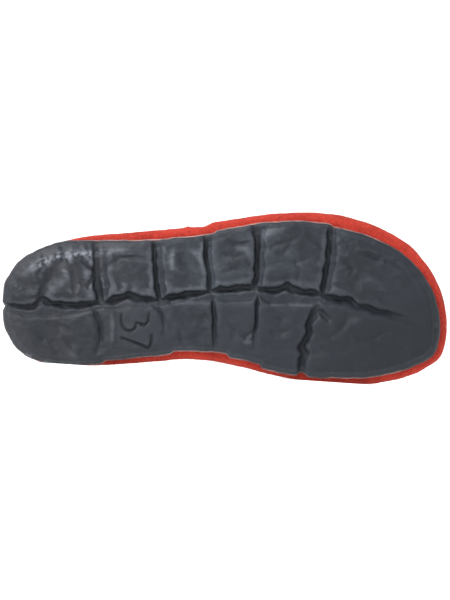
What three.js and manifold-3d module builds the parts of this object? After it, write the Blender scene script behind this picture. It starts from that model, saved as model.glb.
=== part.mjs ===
// A right-foot felt mule that lies on its inner side: a moulded rubber outsole with cobbled blocks, a thick
// felt upper that is open at the heel, and a felt insole.
//
// The shoe is modelled upright and then laid down. Upright, X runs from the heel to the toe, +Y is the
// inner (medial) side, Z is up and the ground is at zero. Lying, the sole faces -Y and the floor is at
// Z = 0. All sizes are in millimetres.

import * as THREE from "three";
import { mergeVertices } from "three/addons/utils/BufferGeometryUtils.js";
import Module from "manifold-3d";

const wasm = await Module();
wasm.setup();

// Overall sizes
const shoeLength = 258; // from the back of the sole to the tip of the felt toe
const ballWidth = 100; // across the felt at the ball of the foot
const toeOverhang = 4; // felt toe past the end of the sole
const heelInset = 2; // felt heel inside the back of the sole
const fitGap = 0.3; // left between pieces that touch

// Outsole
const soleThickness = 13; // at the heel
const toeSpring = 8; // rise of the sole's tip off the ground
const archLift = 1.5; // rise of the waist off the ground
const heelRound = 2.2; // rise of the heel's back edge
const lipHeight = 1.8; // the edge that the felt stands on
const lipOut = 0.4; // how far that edge stands out from the side wall
const wallDraft = 0.2; // lean of the side wall over its height
const edgeRadius = 1.6; // rounded lower edge
const heelBevel = 5.5; // chamfer round the outer side of the heel
const bevelHeight = 5; // how high that chamfer climbs
const stepRun = 3; // length over which the edge steps in or out
const stepReach = 15; // how far from a step the edge is back on its line

// Grooves between the blocks
const grooveWidth = 3;
const grooveDepth = 2.8;
const shallowDepth = 1.4;
const coreMargin = 1; // how far the solid above the grooves is taken past the edge

// Felt upper
const feltWall = 5;
const footTuck = 1.2; // foot of the felt inside the sole's edge
const bulgeRise = 7; // widest line of the felt, above the sole
const instepHeight = 78; // outside of the felt above the ground, at the throat
const crestStart = 42; // back and front ends of the upper's crest, from the heel and from the toe
const crestEnd = 50;
const flankBoxiness = 3; // 2 is an ellipse, more is squarer
const crownBoxiness = 2.6;

// Throat
const rimHeight = 13; // low wall beside the heel, above the sole
const heelRise = 4; // extra height of that wall at the back
const throatStart = 107; // where the wall begins to climb to the instep
const throatFoot = 121; // where the vamp's edge stands upright, above the sole's edge
const throatTop = 136; // the vamp's edge on the instep
const throatCorner = 34; // height at which the climb turns upright

// Insole
const insoleThickness = 4;
const insoleDish = 1.2; // hollow along its middle

// Lying on the side
const settle = 1; // depth of the flats where the edge and the felt rest

// Mesh fineness
const stations = 38; // even stations from heel to toe
const footRings = 4; // rings from the foot of the felt to its widest line
const crownRings = 9; // rings from there to the crest
const acrossInsole = 6;

// Plan of the outsole: a row for each section. at is a share of its length, and medial and lateral are the
// distances of its two edges from the centre line, as shares of the ball width.
const SOLE_PLAN = [
  { at: 0, medial: -0.005, lateral: -0.005 },
  { at: 0.002, medial: 0.118, lateral: -0.106 },
  { at: 0.01, medial: 0.185, lateral: -0.157 },
  { at: 0.03, medial: 0.266, lateral: -0.233 },
  { at: 0.06, medial: 0.321, lateral: -0.289 },
  { at: 0.1, medial: 0.352, lateral: -0.335 },
  { at: 0.15, medial: 0.366, lateral: -0.366 },
  { at: 0.2, medial: 0.356, lateral: -0.367 },
  { at: 0.27, medial: 0.332, lateral: -0.367 },
  { at: 0.34, medial: 0.31, lateral: -0.372 },
  { at: 0.42, medial: 0.284, lateral: -0.388 },
  { at: 0.48, medial: 0.292, lateral: -0.412 },
  { at: 0.54, medial: 0.328, lateral: -0.447 },
  { at: 0.6, medial: 0.383, lateral: -0.471 },
  { at: 0.67, medial: 0.424, lateral: -0.48 },
  { at: 0.74, medial: 0.438, lateral: -0.46 },
  { at: 0.81, medial: 0.441, lateral: -0.413 },
  { at: 0.87, medial: 0.422, lateral: -0.355 },
  { at: 0.92, medial: 0.39, lateral: -0.278 },
  { at: 0.96, medial: 0.345, lateral: -0.168 },
  { at: 0.985, medial: 0.303, lateral: -0.058 },
  { at: 1, medial: 0.155, lateral: 0.155 },
];

// Plan of the felt at its widest line, in the same terms. The lateral edge steps out where the vamp begins.
const FELT_PLAN = [
  { at: 0, medial: 0, lateral: 0 },
  { at: 0.002, medial: 0.115, lateral: -0.105 },
  { at: 0.01, medial: 0.178, lateral: -0.164 },
  { at: 0.03, medial: 0.25, lateral: -0.226 },
  { at: 0.06, medial: 0.303, lateral: -0.281 },
  { at: 0.1, medial: 0.339, lateral: -0.333 },
  { at: 0.15, medial: 0.361, lateral: -0.374 },
  { at: 0.2, medial: 0.363, lateral: -0.392 },
  { at: 0.28, medial: 0.354, lateral: -0.41 },
  { at: 0.36, medial: 0.338, lateral: -0.427 },
  { at: 0.41, medial: 0.327, lateral: -0.439 },
  { at: 0.446, medial: 0.331, lateral: -0.446 },
  { at: 0.468, medial: 0.337, lateral: -0.47 },
  { at: 0.53, medial: 0.371, lateral: -0.494 },
  { at: 0.6, medial: 0.417, lateral: -0.517 },
  { at: 0.67, medial: 0.453, lateral: -0.529 },
  { at: 0.74, medial: 0.47, lateral: -0.516 },
  { at: 0.81, medial: 0.471, lateral: -0.474 },
  { at: 0.87, medial: 0.454, lateral: -0.411 },
  { at: 0.92, medial: 0.421, lateral: -0.325 },
  { at: 0.96, medial: 0.367, lateral: -0.203 },
  { at: 0.985, medial: 0.314, lateral: -0.082 },
  { at: 0.996, medial: 0.24, lateral: 0.02 },
  { at: 1, medial: 0.139, lateral: 0.139 },
];

// Where a block's side stands in or out of the sole's line: jump is the step in millimetres, positive
// outwards.
const EDGE_STEPS = [
  { at: 0.228, side: "medial", jump: -1.5 },
  { at: 0.385, side: "medial", jump: -1.5 },
  { at: 0.514, side: "medial", jump: 1.8 },
  { at: 0.588, side: "medial", jump: 2 },
  { at: 0.674, side: "medial", jump: -1.2 },
  { at: 0.694, side: "medial", jump: 1.2 },
  { at: 0.485, side: "lateral", jump: 1.1 },
  { at: 0.752, side: "lateral", jump: -1.4 },
];

// Side view of the outsole: shares of the toe spring, arch lift, heel round and sole thickness.
const SOLE_SIDE = [
  { at: 0, spring: 0, arch: 0, round: 1, thick: 0.9 },
  { at: 0.03, spring: 0, arch: 0, round: 0.3, thick: 0.97 },
  { at: 0.08, spring: 0, arch: 0, round: 0, thick: 1 },
  { at: 0.3, spring: 0, arch: 0, round: 0, thick: 0.97 },
  { at: 0.45, spring: 0, arch: 1, round: 0, thick: 0.85 },
  { at: 0.6, spring: 0, arch: 0, round: 0, thick: 0.8 },
  { at: 0.76, spring: 0, arch: 0, round: 0, thick: 0.77 },
  { at: 0.88, spring: 0.32, arch: 0, round: 0, thick: 0.74 },
  { at: 1, spring: 1, arch: 0, round: 0, thick: 0.7 },
];

// Chamfers round the sole's lower edge, as shares of the heel bevel.
const EDGE_BEVELS = [
  { at: 0, medial: 0.6, lateral: 0.6 },
  { at: 0.05, medial: 0.3, lateral: 0.95 },
  { at: 0.1, medial: 0.05, lateral: 1 },
  { at: 0.22, medial: 0.05, lateral: 0.9 },
  { at: 0.34, medial: 0.1, lateral: 0.35 },
  { at: 0.7, medial: 0.25, lateral: 0.3 },
  { at: 0.94, medial: 0.4, lateral: 0.45 },
  { at: 1, medial: 0.45, lateral: 0.45 },
];

// Crest of the upper: its height as a share of the instep's, and its place across as a share of the ball
// width. at is a share of the whole length.
const CREST = [
  { at: 0, height: 0.95, across: 0 },
  { at: 0.3, height: 1.04, across: 0 },
  { at: 0.5, height: 1, across: -0.01 },
  { at: 0.62, height: 0.82, across: 0.005 },
  { at: 0.74, height: 0.635, across: 0.04 },
  { at: 0.84, height: 0.52, across: 0.08 },
  { at: 0.93, height: 0.455, across: 0.12 },
  { at: 1, height: 0.41, across: 0.139 },
];

// Routes of the grooves: x is a share of the sole's length, y a share of the ball width, and wide a share
// of the groove width. The long groove runs from the heel to the toe, and the others part the rows of
// blocks.
const GROOVES = [
  {
    depth: grooveDepth,
    route: [
      { x: 0.012, y: 0.02, wide: 0.6 },
      { x: 0.06, y: 0.033, wide: 1.1 },
      { x: 0.09, y: -0.005, wide: 1.2 },
      { x: 0.14, y: 0.02, wide: 1.1 },
      { x: 0.21, y: 0.012, wide: 1.3 },
      { x: 0.285, y: -0.03, wide: 1.1 },
      { x: 0.35, y: -0.008, wide: 1 },
      { x: 0.42, y: -0.042, wide: 1.1 },
      { x: 0.52, y: -0.068, wide: 1.2 },
      { x: 0.575, y: -0.086, wide: 1.4 },
      { x: 0.65, y: -0.079, wide: 1.7 },
      { x: 0.73, y: -0.045, wide: 1.3 },
      { x: 0.79, y: -0.005, wide: 0.9 },
      { x: 0.84, y: 0.035, wide: 0.6 },
      { x: 0.9, y: 0.075, wide: 0.35 },
    ],
  },
  { depth: grooveDepth, route: [{ x: 0.214, y: -0.32, wide: 1.7 }, { x: 0.219, y: -0.03, wide: 1.5 }] },
  { depth: grooveDepth, route: [{ x: 0.345, y: -0.32, wide: 1.1 }, { x: 0.354, y: -0.03, wide: 1.5 }] },
  { depth: grooveDepth, route: [{ x: 0.464, y: -0.36, wide: 0.8 }, { x: 0.47, y: -0.07, wide: 1.4 }] },
  { depth: grooveDepth, route: [{ x: 0.583, y: -0.405, wide: 1 }, { x: 0.576, y: -0.1, wide: 1.4 }] },
  { depth: grooveDepth, route: [{ x: 0.748, y: -0.4, wide: 1.1 }, { x: 0.732, y: -0.06, wide: 1.3 }] },
  { depth: shallowDepth, route: [{ x: 0.212, y: 0.045, wide: 0.7 }, { x: 0.238, y: 0.27, wide: 1.3 }] },
  { depth: shallowDepth, route: [{ x: 0.358, y: 0.02, wide: 0.9 }, { x: 0.372, y: 0.24, wide: 1.3 }] },
  { depth: shallowDepth, route: [{ x: 0.481, y: -0.02, wide: 0.8 }, { x: 0.487, y: 0.24, wide: 0.8 }] },
  { depth: shallowDepth, route: [{ x: 0.58, y: -0.05, wide: 0.8 }, { x: 0.576, y: 0.3, wide: 0.8 }] },
  {
    depth: grooveDepth,
    route: [
      { x: 0.724, y: 0.03, wide: 0.9 },
      { x: 0.694, y: 0.17, wide: 2.1 },
      { x: 0.677, y: 0.36, wide: 1.5 },
    ],
  },
];

const soleLength = shoeLength - toeOverhang;
const feltLength = shoeLength - heelInset;

// Stations lie close together at both ends, where an outline turns: station 0 to 1 gives a share of the
// length.
const shareAt = (station) => (1 - Math.cos(Math.PI * station)) / 2;
const stationAt = (share) => Math.acos(1 - 2 * share) / Math.PI;

// A column of a table as a function of the station: cubic pieces that never overshoot their rows.
function column(rows, name) {
  const place = rows.map((row) => stationAt(row.at));
  const value = rows.map((row) => row[name]);
  const slope = [];
  for (let i = 0; i + 1 < rows.length; i++) {
    slope.push((value[i + 1] - value[i]) / (place[i + 1] - place[i]));
  }
  const tangent = rows.map((_, i) => {
    if (i === 0 || i === rows.length - 1) return slope[i === 0 ? 0 : i - 1];
    const [before, after] = [slope[i - 1], slope[i]];
    return before * after <= 0 ? 0 : (2 * before * after) / (before + after);
  });
  return (station) => {
    let i = 0;
    while (i + 2 < rows.length && station > place[i + 1]) i++;
    const run = place[i + 1] - place[i];
    const t = (station - place[i]) / run;
    return (
      value[i] * (1 + 2 * t) * (1 - t) ** 2 +
      tangent[i] * run * t * (1 - t) ** 2 +
      value[i + 1] * t * t * (3 - 2 * t) +
      tangent[i + 1] * run * t * t * (t - 1)
    );
  };
}

// A closed outline seen from above. A turn from 0 to 1 goes along the medial side from heel to toe, and
// from 1 to 2 back along the lateral side.
function planOf(rows, start, extent) {
  const edge = { medial: column(rows, "medial"), lateral: column(rows, "lateral") };
  const point = (turn) => {
    const wrapped = (turn + 2) % 2;
    const side = wrapped <= 1 ? "medial" : "lateral";
    const station = wrapped <= 1 ? wrapped : 2 - wrapped;
    return new THREE.Vector2(start + extent * shareAt(station), ballWidth * edge[side](station));
  };
  const outward = (turn) => {
    const nudge = 0.004;
    const along = point(turn + nudge).sub(point(turn - nudge)).normalize();
    return new THREE.Vector2(-along.y, along.x);
  };
  return { point, outward };
}

const solePlan = planOf(SOLE_PLAN, 0, soleLength);
const feltPlan = planOf(FELT_PLAN, heelInset, feltLength);

const profile = {};
for (const name of ["spring", "arch", "round", "thick"]) profile[name] = column(SOLE_SIDE, name);
const bevel = { medial: column(EDGE_BEVELS, "medial"), lateral: column(EDGE_BEVELS, "lateral") };
const crest = { height: column(CREST, "height"), across: column(CREST, "across") };

const stationOf = (turn) => (turn <= 1 ? turn : 2 - turn);
const sideOf = (turn) => (turn <= 1 ? "medial" : "lateral");

const soleBottom = (station) =>
  toeSpring * profile.spring(station) +
  archLift * profile.arch(station) +
  heelRound * profile.round(station);
const soleTop = (station) => soleBottom(station) + soleThickness * profile.thick(station);

// How far the sole's edge stands off its smooth line at a place, from the steps near it.
function edgeStep(turn) {
  const x = soleLength * shareAt(stationOf(turn));
  let offset = 0;
  for (const step of EDGE_STEPS) {
    const distance = x - soleLength * step.at;
    if (step.side !== sideOf(turn) || Math.abs(distance) > stepReach) continue;
    const rise = THREE.MathUtils.smoothstep(distance, -stepRun / 2, stepRun / 2);
    offset += step.jump * (rise - (1 + distance / stepReach) / 2);
  }
  return offset;
}

// The turns of one loop: even stations, with extra ones at the given shares of the length.
function turnsWith(shares, run) {
  const found = [];
  for (let i = 0; i <= stations; i++) found.push(i / stations);
  for (const share of shares) {
    for (const shift of [-1, -0.5, 0.5, 1]) found.push(stationAt(share + (shift * run) / shoeLength));
  }
  found.sort((a, b) => a - b);
  const spacing = 0.2 / stations;
  const apart = (s, i) => s - found[i - 1] > spacing && 1 - s > spacing;
  const kept = found.filter((s, i) => i === 0 || s === 1 || apart(s, i));
  return [...kept, ...kept.slice(1, -1).reverse().map((s) => 2 - s)];
}

// A closed surface is gathered as triangles and then welded into one solid.
class Surface {
  constructor() {
    this.corners = [];
  }

  triangle(a, b, c) {
    for (const p of [a, b, c]) this.corners.push(p.x, p.y, p.z);
  }

  quad(a, b, c, d) {
    this.triangle(a, b, c);
    this.triangle(a, c, d);
  }

  // The wall between two rings, the first one lower. It faces out of the loop, or into it if inside is
  // true.
  wall(lower, upper, inside = false) {
    lower.forEach((p, i) => {
      const j = (i + 1) % lower.length;
      if (inside) this.quad(p, lower[j], upper[j], upper[i]);
      else this.quad(p, upper[i], upper[j], lower[j]);
    });
  }

  // A lid across a ring in strips from side to side, sunk in the middle by dish, facing up or down.
  lid(ring, up, strips = 1, dish = 0) {
    const half = ring.length / 2;
    const at = (i, t) => {
      const p = ring[(ring.length - i) % ring.length].clone().lerp(ring[i], t);
      p.z -= dish * 4 * t * (1 - t) * Math.sin((Math.PI * i) / half);
      return p;
    };
    for (let i = 0; i < half; i++) {
      for (let k = 0; k < strips; k++) {
        const [t0, t1] = [k / strips, (k + 1) / strips];
        const corners = [at(i, t0), at(i + 1, t0), at(i + 1, t1), at(i, t1)];
        this.quad(...(up ? corners : corners.reverse()));
      }
    }
  }

  solid() {
    const loose = new THREE.BufferGeometry();
    loose.setAttribute("position", new THREE.Float32BufferAttribute(this.corners, 3));
    return solidOf(loose);
  }
}

// A closed geometry as a solid for cutting and joining.
function solidOf(geometry) {
  const bare = geometry.index ? geometry.toNonIndexed() : geometry.clone();
  bare.deleteAttribute("normal");
  bare.deleteAttribute("uv");
  const merged = mergeVertices(bare, 1e-3);
  const index = merged.index.array;
  const kept = [];
  for (let i = 0; i < index.length; i += 3) {
    const [a, b, c] = index.slice(i, i + 3);
    if (a !== b && b !== c && c !== a) kept.push(a, b, c);
  }
  return new wasm.Manifold(
    new wasm.Mesh({
      numProp: 3,
      vertProperties: merged.attributes.position.array,
      triVerts: new Uint32Array(kept),
    }),
  );
}

function meshOf(name, solid, material) {
  const made = solid.getMesh();
  const geometry = new THREE.BufferGeometry();
  geometry.setAttribute("position", new THREE.BufferAttribute(made.vertProperties, 3));
  geometry.setIndex(new THREE.BufferAttribute(made.triVerts, 1));
  geometry.computeVertexNormals();
  const mesh = new THREE.Mesh(geometry, material);
  mesh.name = name;
  return mesh;
}

// A point on the sole's side, inset inwards from its line.
function soleEdge(turn, inset, z) {
  const p = solePlan.point(turn);
  p.addScaledVector(solePlan.outward(turn), edgeStep(turn) - inset);
  return new THREE.Vector3(p.x, p.y, z);
}

// The sole without its grooves. raised lifts its lower face, which leaves the core that grooves stop at.
function soleBody(turns, raised = 0) {
  const margin = raised > 0 ? coreMargin : 0;
  const ring = (place) =>
    turns.map((turn) => {
      const station = stationOf(turn);
      const cut = heelBevel * bevel[sideOf(turn)](station);
      const climb = Math.max(edgeRadius, (bevelHeight * cut) / heelBevel);
      const { inset, z } = place({ station, cut, climb });
      return soleEdge(turn, inset - margin, z);
    });
  const wallFoot = lipOut + wallDraft;
  const rings = [
    ring(({ station, cut }) => ({
      inset: wallFoot + edgeRadius + cut,
      z: soleBottom(station) + raised,
    })),
    ring(({ station, cut, climb }) => ({
      inset: wallFoot + edgeRadius * 0.3 + cut * 0.45,
      z: soleBottom(station) + raised + climb * 0.35,
    })),
    ring(({ station, climb }) => ({
      inset: wallFoot,
      z: soleBottom(station) + raised + climb,
    })),
    ring(({ station }) => ({ inset: lipOut, z: soleTop(station) - lipHeight - lipOut })),
    ring(({ station }) => ({ inset: 0, z: soleTop(station) - lipHeight })),
    ring(({ station }) => ({ inset: 0, z: soleTop(station) })),
  ];
  const surface = new Surface();
  surface.lid(rings[0], false);
  for (let i = 0; i + 1 < rings.length; i++) surface.wall(rings[i], rings[i + 1]);
  surface.lid(rings.at(-1), true);
  return surface.solid();
}

// A groove's band, cut straight up through the sole.
function grooveBand(route) {
  const spine = route.map((row) => new THREE.Vector2(soleLength * row.x, ballWidth * row.y));
  const edges = [[], []];
  spine.forEach((p, i) => {
    const [before, after] = [spine[Math.max(i - 1, 0)], spine[Math.min(i + 1, spine.length - 1)]];
    const along = after.clone().sub(before).normalize();
    const half = (grooveWidth * route[i].wide) / 2;
    const across = new THREE.Vector2(-along.y, along.x).multiplyScalar(half);
    edges[0].push(p.clone().add(across));
    edges[1].push(p.clone().sub(across));
  });
  const reach = soleThickness + toeSpring;
  const outline = new THREE.Shape([...edges[0], ...edges[1].reverse()]);
  const band = new THREE.ExtrudeGeometry(outline, { depth: 2 * reach, bevelEnabled: false });
  return solidOf(band.translate(0, 0, -reach));
}

function outsole() {
  const turns = turnsWith(EDGE_STEPS.map((step) => step.at), stepRun);
  let body = soleBody(turns);
  for (const depth of [grooveDepth, shallowDepth]) {
    const core = soleBody(turns, depth);
    for (const groove of GROOVES.filter((one) => one.depth === depth)) {
      body = body.subtract(grooveBand(groove.route).subtract(core));
    }
  }
  return body;
}

// A quarter of a superellipse that leaves level and ends upright: how far over and how far up, each from
// 0 to 1.
function flankCurve(climb) {
  const angle = (climb * Math.PI) / 2;
  return {
    over: Math.sin(angle) ** (2 / flankBoxiness),
    up: climb === 1 ? 1 : 1 - Math.cos(angle) ** (2 / flankBoxiness),
  };
}

// The felt's side from its foot on the sole (climb 0) to its widest line (climb 1), inset inwards by skin.
function feltFlank(turn, climb, skin, lift) {
  const { over, up } = flankCurve(climb);
  const foot = solePlan.point(turn).addScaledVector(solePlan.outward(turn), -footTuck);
  const p = foot.lerp(feltPlan.point(turn), over);
  p.addScaledVector(feltPlan.outward(turn), -skin);
  return new THREE.Vector3(p.x, p.y, soleTop(stationOf(turn)) + lift + (bulgeRise - lift) * up);
}

// The felt from its widest line (climb 0) up to the crest (climb 1), inset inwards by skin.
function feltCrown(turn, climb, skin) {
  const angle = (climb * Math.PI) / 2;
  const inwards = climb === 1 ? 1 : 1 - Math.cos(angle) ** (2 / crownBoxiness);
  const upwards = Math.sin(angle) ** (2 / crownBoxiness);
  const low = feltFlank(turn, 1, skin, fitGap);
  const crestX = THREE.MathUtils.lerp(crestStart, shoeLength - crestEnd, shareAt(stationOf(turn)));
  const crestY = ballWidth * crest.across(stationAt(crestX / shoeLength));
  const x = THREE.MathUtils.lerp(low.x, crestX, inwards);
  const roof = instepHeight * crest.height(stationAt(x / shoeLength)) - skin;
  return new THREE.Vector3(
    x,
    THREE.MathUtils.lerp(low.y, crestY, inwards),
    THREE.MathUtils.lerp(low.z, roof, upwards),
  );
}

// The space that the throat opens, as a block across the shoe with the side view of the rim and the
// vamp's edge.
function throatCutter() {
  const base = soleTop(stationAt(0.2));
  const rim = base + rimHeight;
  const behind = -shoeLength / 4;
  const above = instepHeight * 2;
  const outline = new THREE.Shape();
  outline.moveTo(behind, rim + heelRise);
  outline.lineTo(0, rim + heelRise);
  outline.quadraticCurveTo(crestStart, rim, throatStart, rim);
  outline.quadraticCurveTo(throatFoot, rim, throatFoot, base + throatCorner);
  outline.quadraticCurveTo(throatFoot, (base + throatCorner + instepHeight) / 2, throatTop, instepHeight);
  outline.lineTo(throatTop, above);
  outline.lineTo(behind, above);
  const block = new THREE.ExtrudeGeometry(outline, {
    depth: 2 * ballWidth,
    bevelEnabled: false,
    curveSegments: 8,
  });
  return solidOf(block.rotateX(Math.PI / 2).translate(0, ballWidth, 0));
}

// The turns of the felt's loops, closer together where the vamp's edge steps out.
function feltTurns() {
  const vampStep = FELT_PLAN.filter((row) => row.at > 0.44 && row.at < 0.48).map((row) => row.at);
  return turnsWith(vampStep, stepRun);
}

function upper() {
  const turns = feltTurns();
  const surface = new Surface();
  const [outer, inner] = [0, feltWall].map((skin) => {
    const rings = [];
    for (let i = 0; i < footRings; i++) {
      rings.push(turns.map((turn) => feltFlank(turn, i / footRings, skin, fitGap)));
    }
    for (let i = 0; i <= crownRings; i++) {
      rings.push(turns.map((turn) => feltCrown(turn, i / crownRings, skin)));
    }
    for (let i = 0; i + 1 < rings.length; i++) surface.wall(rings[i], rings[i + 1], skin > 0);
    return rings[0];
  });
  surface.wall(inner, outer);
  return surface.solid().subtract(throatCutter());
}

function insole() {
  const turns = feltTurns();
  const skin = feltWall + fitGap;
  const top = fitGap + insoleThickness;
  const ringAt = (climb) => turns.map((turn) => feltFlank(turn, climb, skin, fitGap));
  const heightAt = (i) => fitGap + (bulgeRise - fitGap) * flankCurve(i / footRings).up;
  const rings = [ringAt(0)];
  let i = 1;
  for (; i < footRings && heightAt(i) < top; i++) rings.push(ringAt(i / footRings));
  const share = Math.min(1, (top - heightAt(i - 1)) / (heightAt(i) - heightAt(i - 1)));
  const next = ringAt(i / footRings);
  rings.push(rings.at(-1).map((p, k) => p.clone().lerp(next[k], share)));
  const surface = new Surface();
  surface.lid(rings[0], false);
  for (let k = 0; k + 1 < rings.length; k++) surface.wall(rings[k], rings[k + 1]);
  surface.lid(rings.at(-1), true, acrossInsole, insoleDish);
  return surface.solid();
}

// The line on the floor, seen from above the upright shoe: it touches the medial side of the heel and of
// the ball.
function floorLine() {
  const outline = [];
  for (let turn = 0; turn <= 1; turn += 1 / 400) {
    outline.push(feltPlan.point(turn), solePlan.point(turn));
  }
  const furthest = (slope) =>
    outline.reduce((best, p) => (p.y - slope * p.x > best.y - slope * best.x ? p : best));
  let [low, high] = [-0.5, 0.5];
  for (let i = 0; i < 40; i++) {
    const middle = (low + high) / 2;
    if (furthest(middle).x > shoeLength / 2) low = middle;
    else high = middle;
  }
  const touch = furthest(low);
  return { angle: Math.atan(low), touch };
}

// All that lies below the floor once the shoe has settled on its side.
function belowFloor({ angle, touch }) {
  const reach = 2 * shoeLength;
  const slab = new THREE.BoxGeometry(reach, reach, reach);
  slab.translate(0, reach / 2 - settle, 0).rotateZ(angle).translate(touch.x, touch.y, 0);
  return solidOf(slab);
}

function shoe() {
  const rubber = new THREE.MeshStandardMaterial({ color: 0x3d4148, roughness: 0.62, metalness: 0 });
  const redFelt = new THREE.MeshStandardMaterial({ color: 0xc2362c, roughness: 1, metalness: 0 });
  const insoleFelt = new THREE.MeshStandardMaterial({ color: 0xb5332b, roughness: 1, metalness: 0 });
  const floor = floorLine();
  const below = belowFloor(floor);
  const upright = new THREE.Group();
  upright.add(
    meshOf("outsole", outsole().subtract(below), rubber),
    meshOf("upper", upper().subtract(below), redFelt),
    meshOf("insole", insole(), insoleFelt),
  );
  upright.rotation.x = -Math.PI / 2;
  const level = new THREE.Group();
  level.rotation.y = -floor.angle;
  level.add(upright);
  const lying = new THREE.Group();
  lying.add(level);
  lying.updateMatrixWorld(true);
  const box = new THREE.Box3().setFromObject(lying, true);
  const middle = box.getCenter(new THREE.Vector3());
  level.position.set(-middle.x, -middle.y, -box.min.z);
  return lying;
}

export default shoe();
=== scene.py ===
"""A red felt mule for the right foot, lying on its inner side with its cobbled sole towards the camera.

Sizes are in millimetres on the upright shoe (x from the heel to the toe, y to the inner side, z up from the
ground) until Pose lays a mesh down into the row frame, in metres.
"""

import logging
import math
from dataclasses import dataclass, field
from enum import Enum

import bmesh
import bpy
import numpy as np
from mathutils import Matrix, Vector, noise


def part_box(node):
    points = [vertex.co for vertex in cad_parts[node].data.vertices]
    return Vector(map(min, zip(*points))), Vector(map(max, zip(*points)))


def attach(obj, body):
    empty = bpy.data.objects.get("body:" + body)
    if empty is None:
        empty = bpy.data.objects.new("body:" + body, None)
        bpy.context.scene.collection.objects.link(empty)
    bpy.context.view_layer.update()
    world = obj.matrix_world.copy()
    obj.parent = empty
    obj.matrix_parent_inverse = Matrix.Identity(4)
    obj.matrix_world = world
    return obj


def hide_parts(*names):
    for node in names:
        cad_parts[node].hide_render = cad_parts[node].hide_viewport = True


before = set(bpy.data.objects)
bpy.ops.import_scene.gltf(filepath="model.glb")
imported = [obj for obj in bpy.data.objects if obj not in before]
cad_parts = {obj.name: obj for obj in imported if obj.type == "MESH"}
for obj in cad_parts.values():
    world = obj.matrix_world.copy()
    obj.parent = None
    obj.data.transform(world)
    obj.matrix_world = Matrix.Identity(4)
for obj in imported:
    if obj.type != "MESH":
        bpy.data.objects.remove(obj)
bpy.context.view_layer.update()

LOG = logging.getLogger("slipper")

# Millimetres, as on the real shoe.
SHOE_LENGTH = 258.0
SOLE_LENGTH = 254.0
BALL_WIDTH = 100.0

# Metres: vertices nearer than WELD become one, and an edge shorter than SLIVER goes.
WELD = 2e-6
SLIVER = 1e-7


class Side(Enum):
    """The two long sides of the shoe."""

    INNER = "inner"
    OUTER = "outer"


def smooth(value: np.ndarray, low: float, high: float) -> np.ndarray:
    """Rises smoothly from 0 at low to 1 at high.

    Args:
        value: The values to read.
        low: Where the rise begins.
        high: Where it ends.

    Returns:
        The share of the rise at each value.
    """
    t = np.clip((value - low) / (high - low), 0.0, 1.0)
    return t * t * (3.0 - 2.0 * t)


def station_at(share: np.ndarray) -> np.ndarray:
    """The station of a share of the length: stations lie close together at both ends."""
    return np.arccos(1.0 - 2.0 * np.clip(share, 0.0, 1.0)) / math.pi


def share_at(station: np.ndarray) -> np.ndarray:
    """The share of the length at a station."""
    return (1.0 - np.cos(math.pi * np.asarray(station))) / 2.0


def lumps(points: np.ndarray, size: float, seed: float) -> np.ndarray:
    """Soft random relief.

    Args:
        points: Places in millimetres, an array of n by 2 or n by 3.
        size: The size of a lump, in millimetres.
        seed: Shifts the pattern.

    Returns:
        A height from about -1 to 1 at each place.
    """
    spots = np.zeros((len(points), 3))
    spots[:, : points.shape[1]] = points / size
    spots += seed * 17.31
    return np.array([noise.noise(Vector(spot)) for spot in spots])


def hammered(points: np.ndarray, size: float, seed: float) -> np.ndarray:
    """Shallow bowls side by side, with crisp ridges between them.

    Args:
        points: Places in millimetres, an array of n by 2.
        size: The size of a bowl.
        seed: Shifts the pattern.

    Returns:
        The depth, from about 0 on a ridge to 1 in the middle of a bowl.
    """
    spots = np.zeros((len(points), 3))
    spots[:, :2] = points / size
    spots += seed * 9.7
    near = np.array([noise.voronoi(Vector(spot))[0][0] for spot in spots])
    return 1 - np.clip(near * 1.25, 0, 1) ** 2


@dataclass(frozen=True)
class Column:
    """A smooth curve through the rows of a table that never overshoots them."""

    places: tuple[float, ...]
    values: tuple[float, ...]

    def __call__(self, at: np.ndarray) -> np.ndarray:
        """Reads the curve.

        Args:
            at: Stations from 0 to 1.

        Returns:
            The value at each station.
        """
        x = station_at(np.array(self.places))
        v = np.array(self.values)
        run = np.diff(x)
        slope = np.diff(v) / run
        tangent = np.empty_like(v)
        tangent[0], tangent[-1] = slope[0], slope[-1]
        product = slope[:-1] * slope[1:]
        total = np.where(np.abs(slope[:-1] + slope[1:]) < 1e-12, 1.0, slope[:-1] + slope[1:])
        tangent[1:-1] = np.where(product <= 0, 0.0, 2.0 * product / total)
        at = np.asarray(at, dtype=float)
        i = np.clip(np.searchsorted(x, at) - 1, 0, len(run) - 1)
        t = (at - x[i]) / run[i]
        return (
            v[i] * (1 + 2 * t) * (1 - t) ** 2
            + tangent[i] * run[i] * t * (1 - t) ** 2
            + v[i + 1] * t * t * (3 - 2 * t)
            + tangent[i + 1] * run[i] * t * t * (t - 1)
        )


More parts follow.
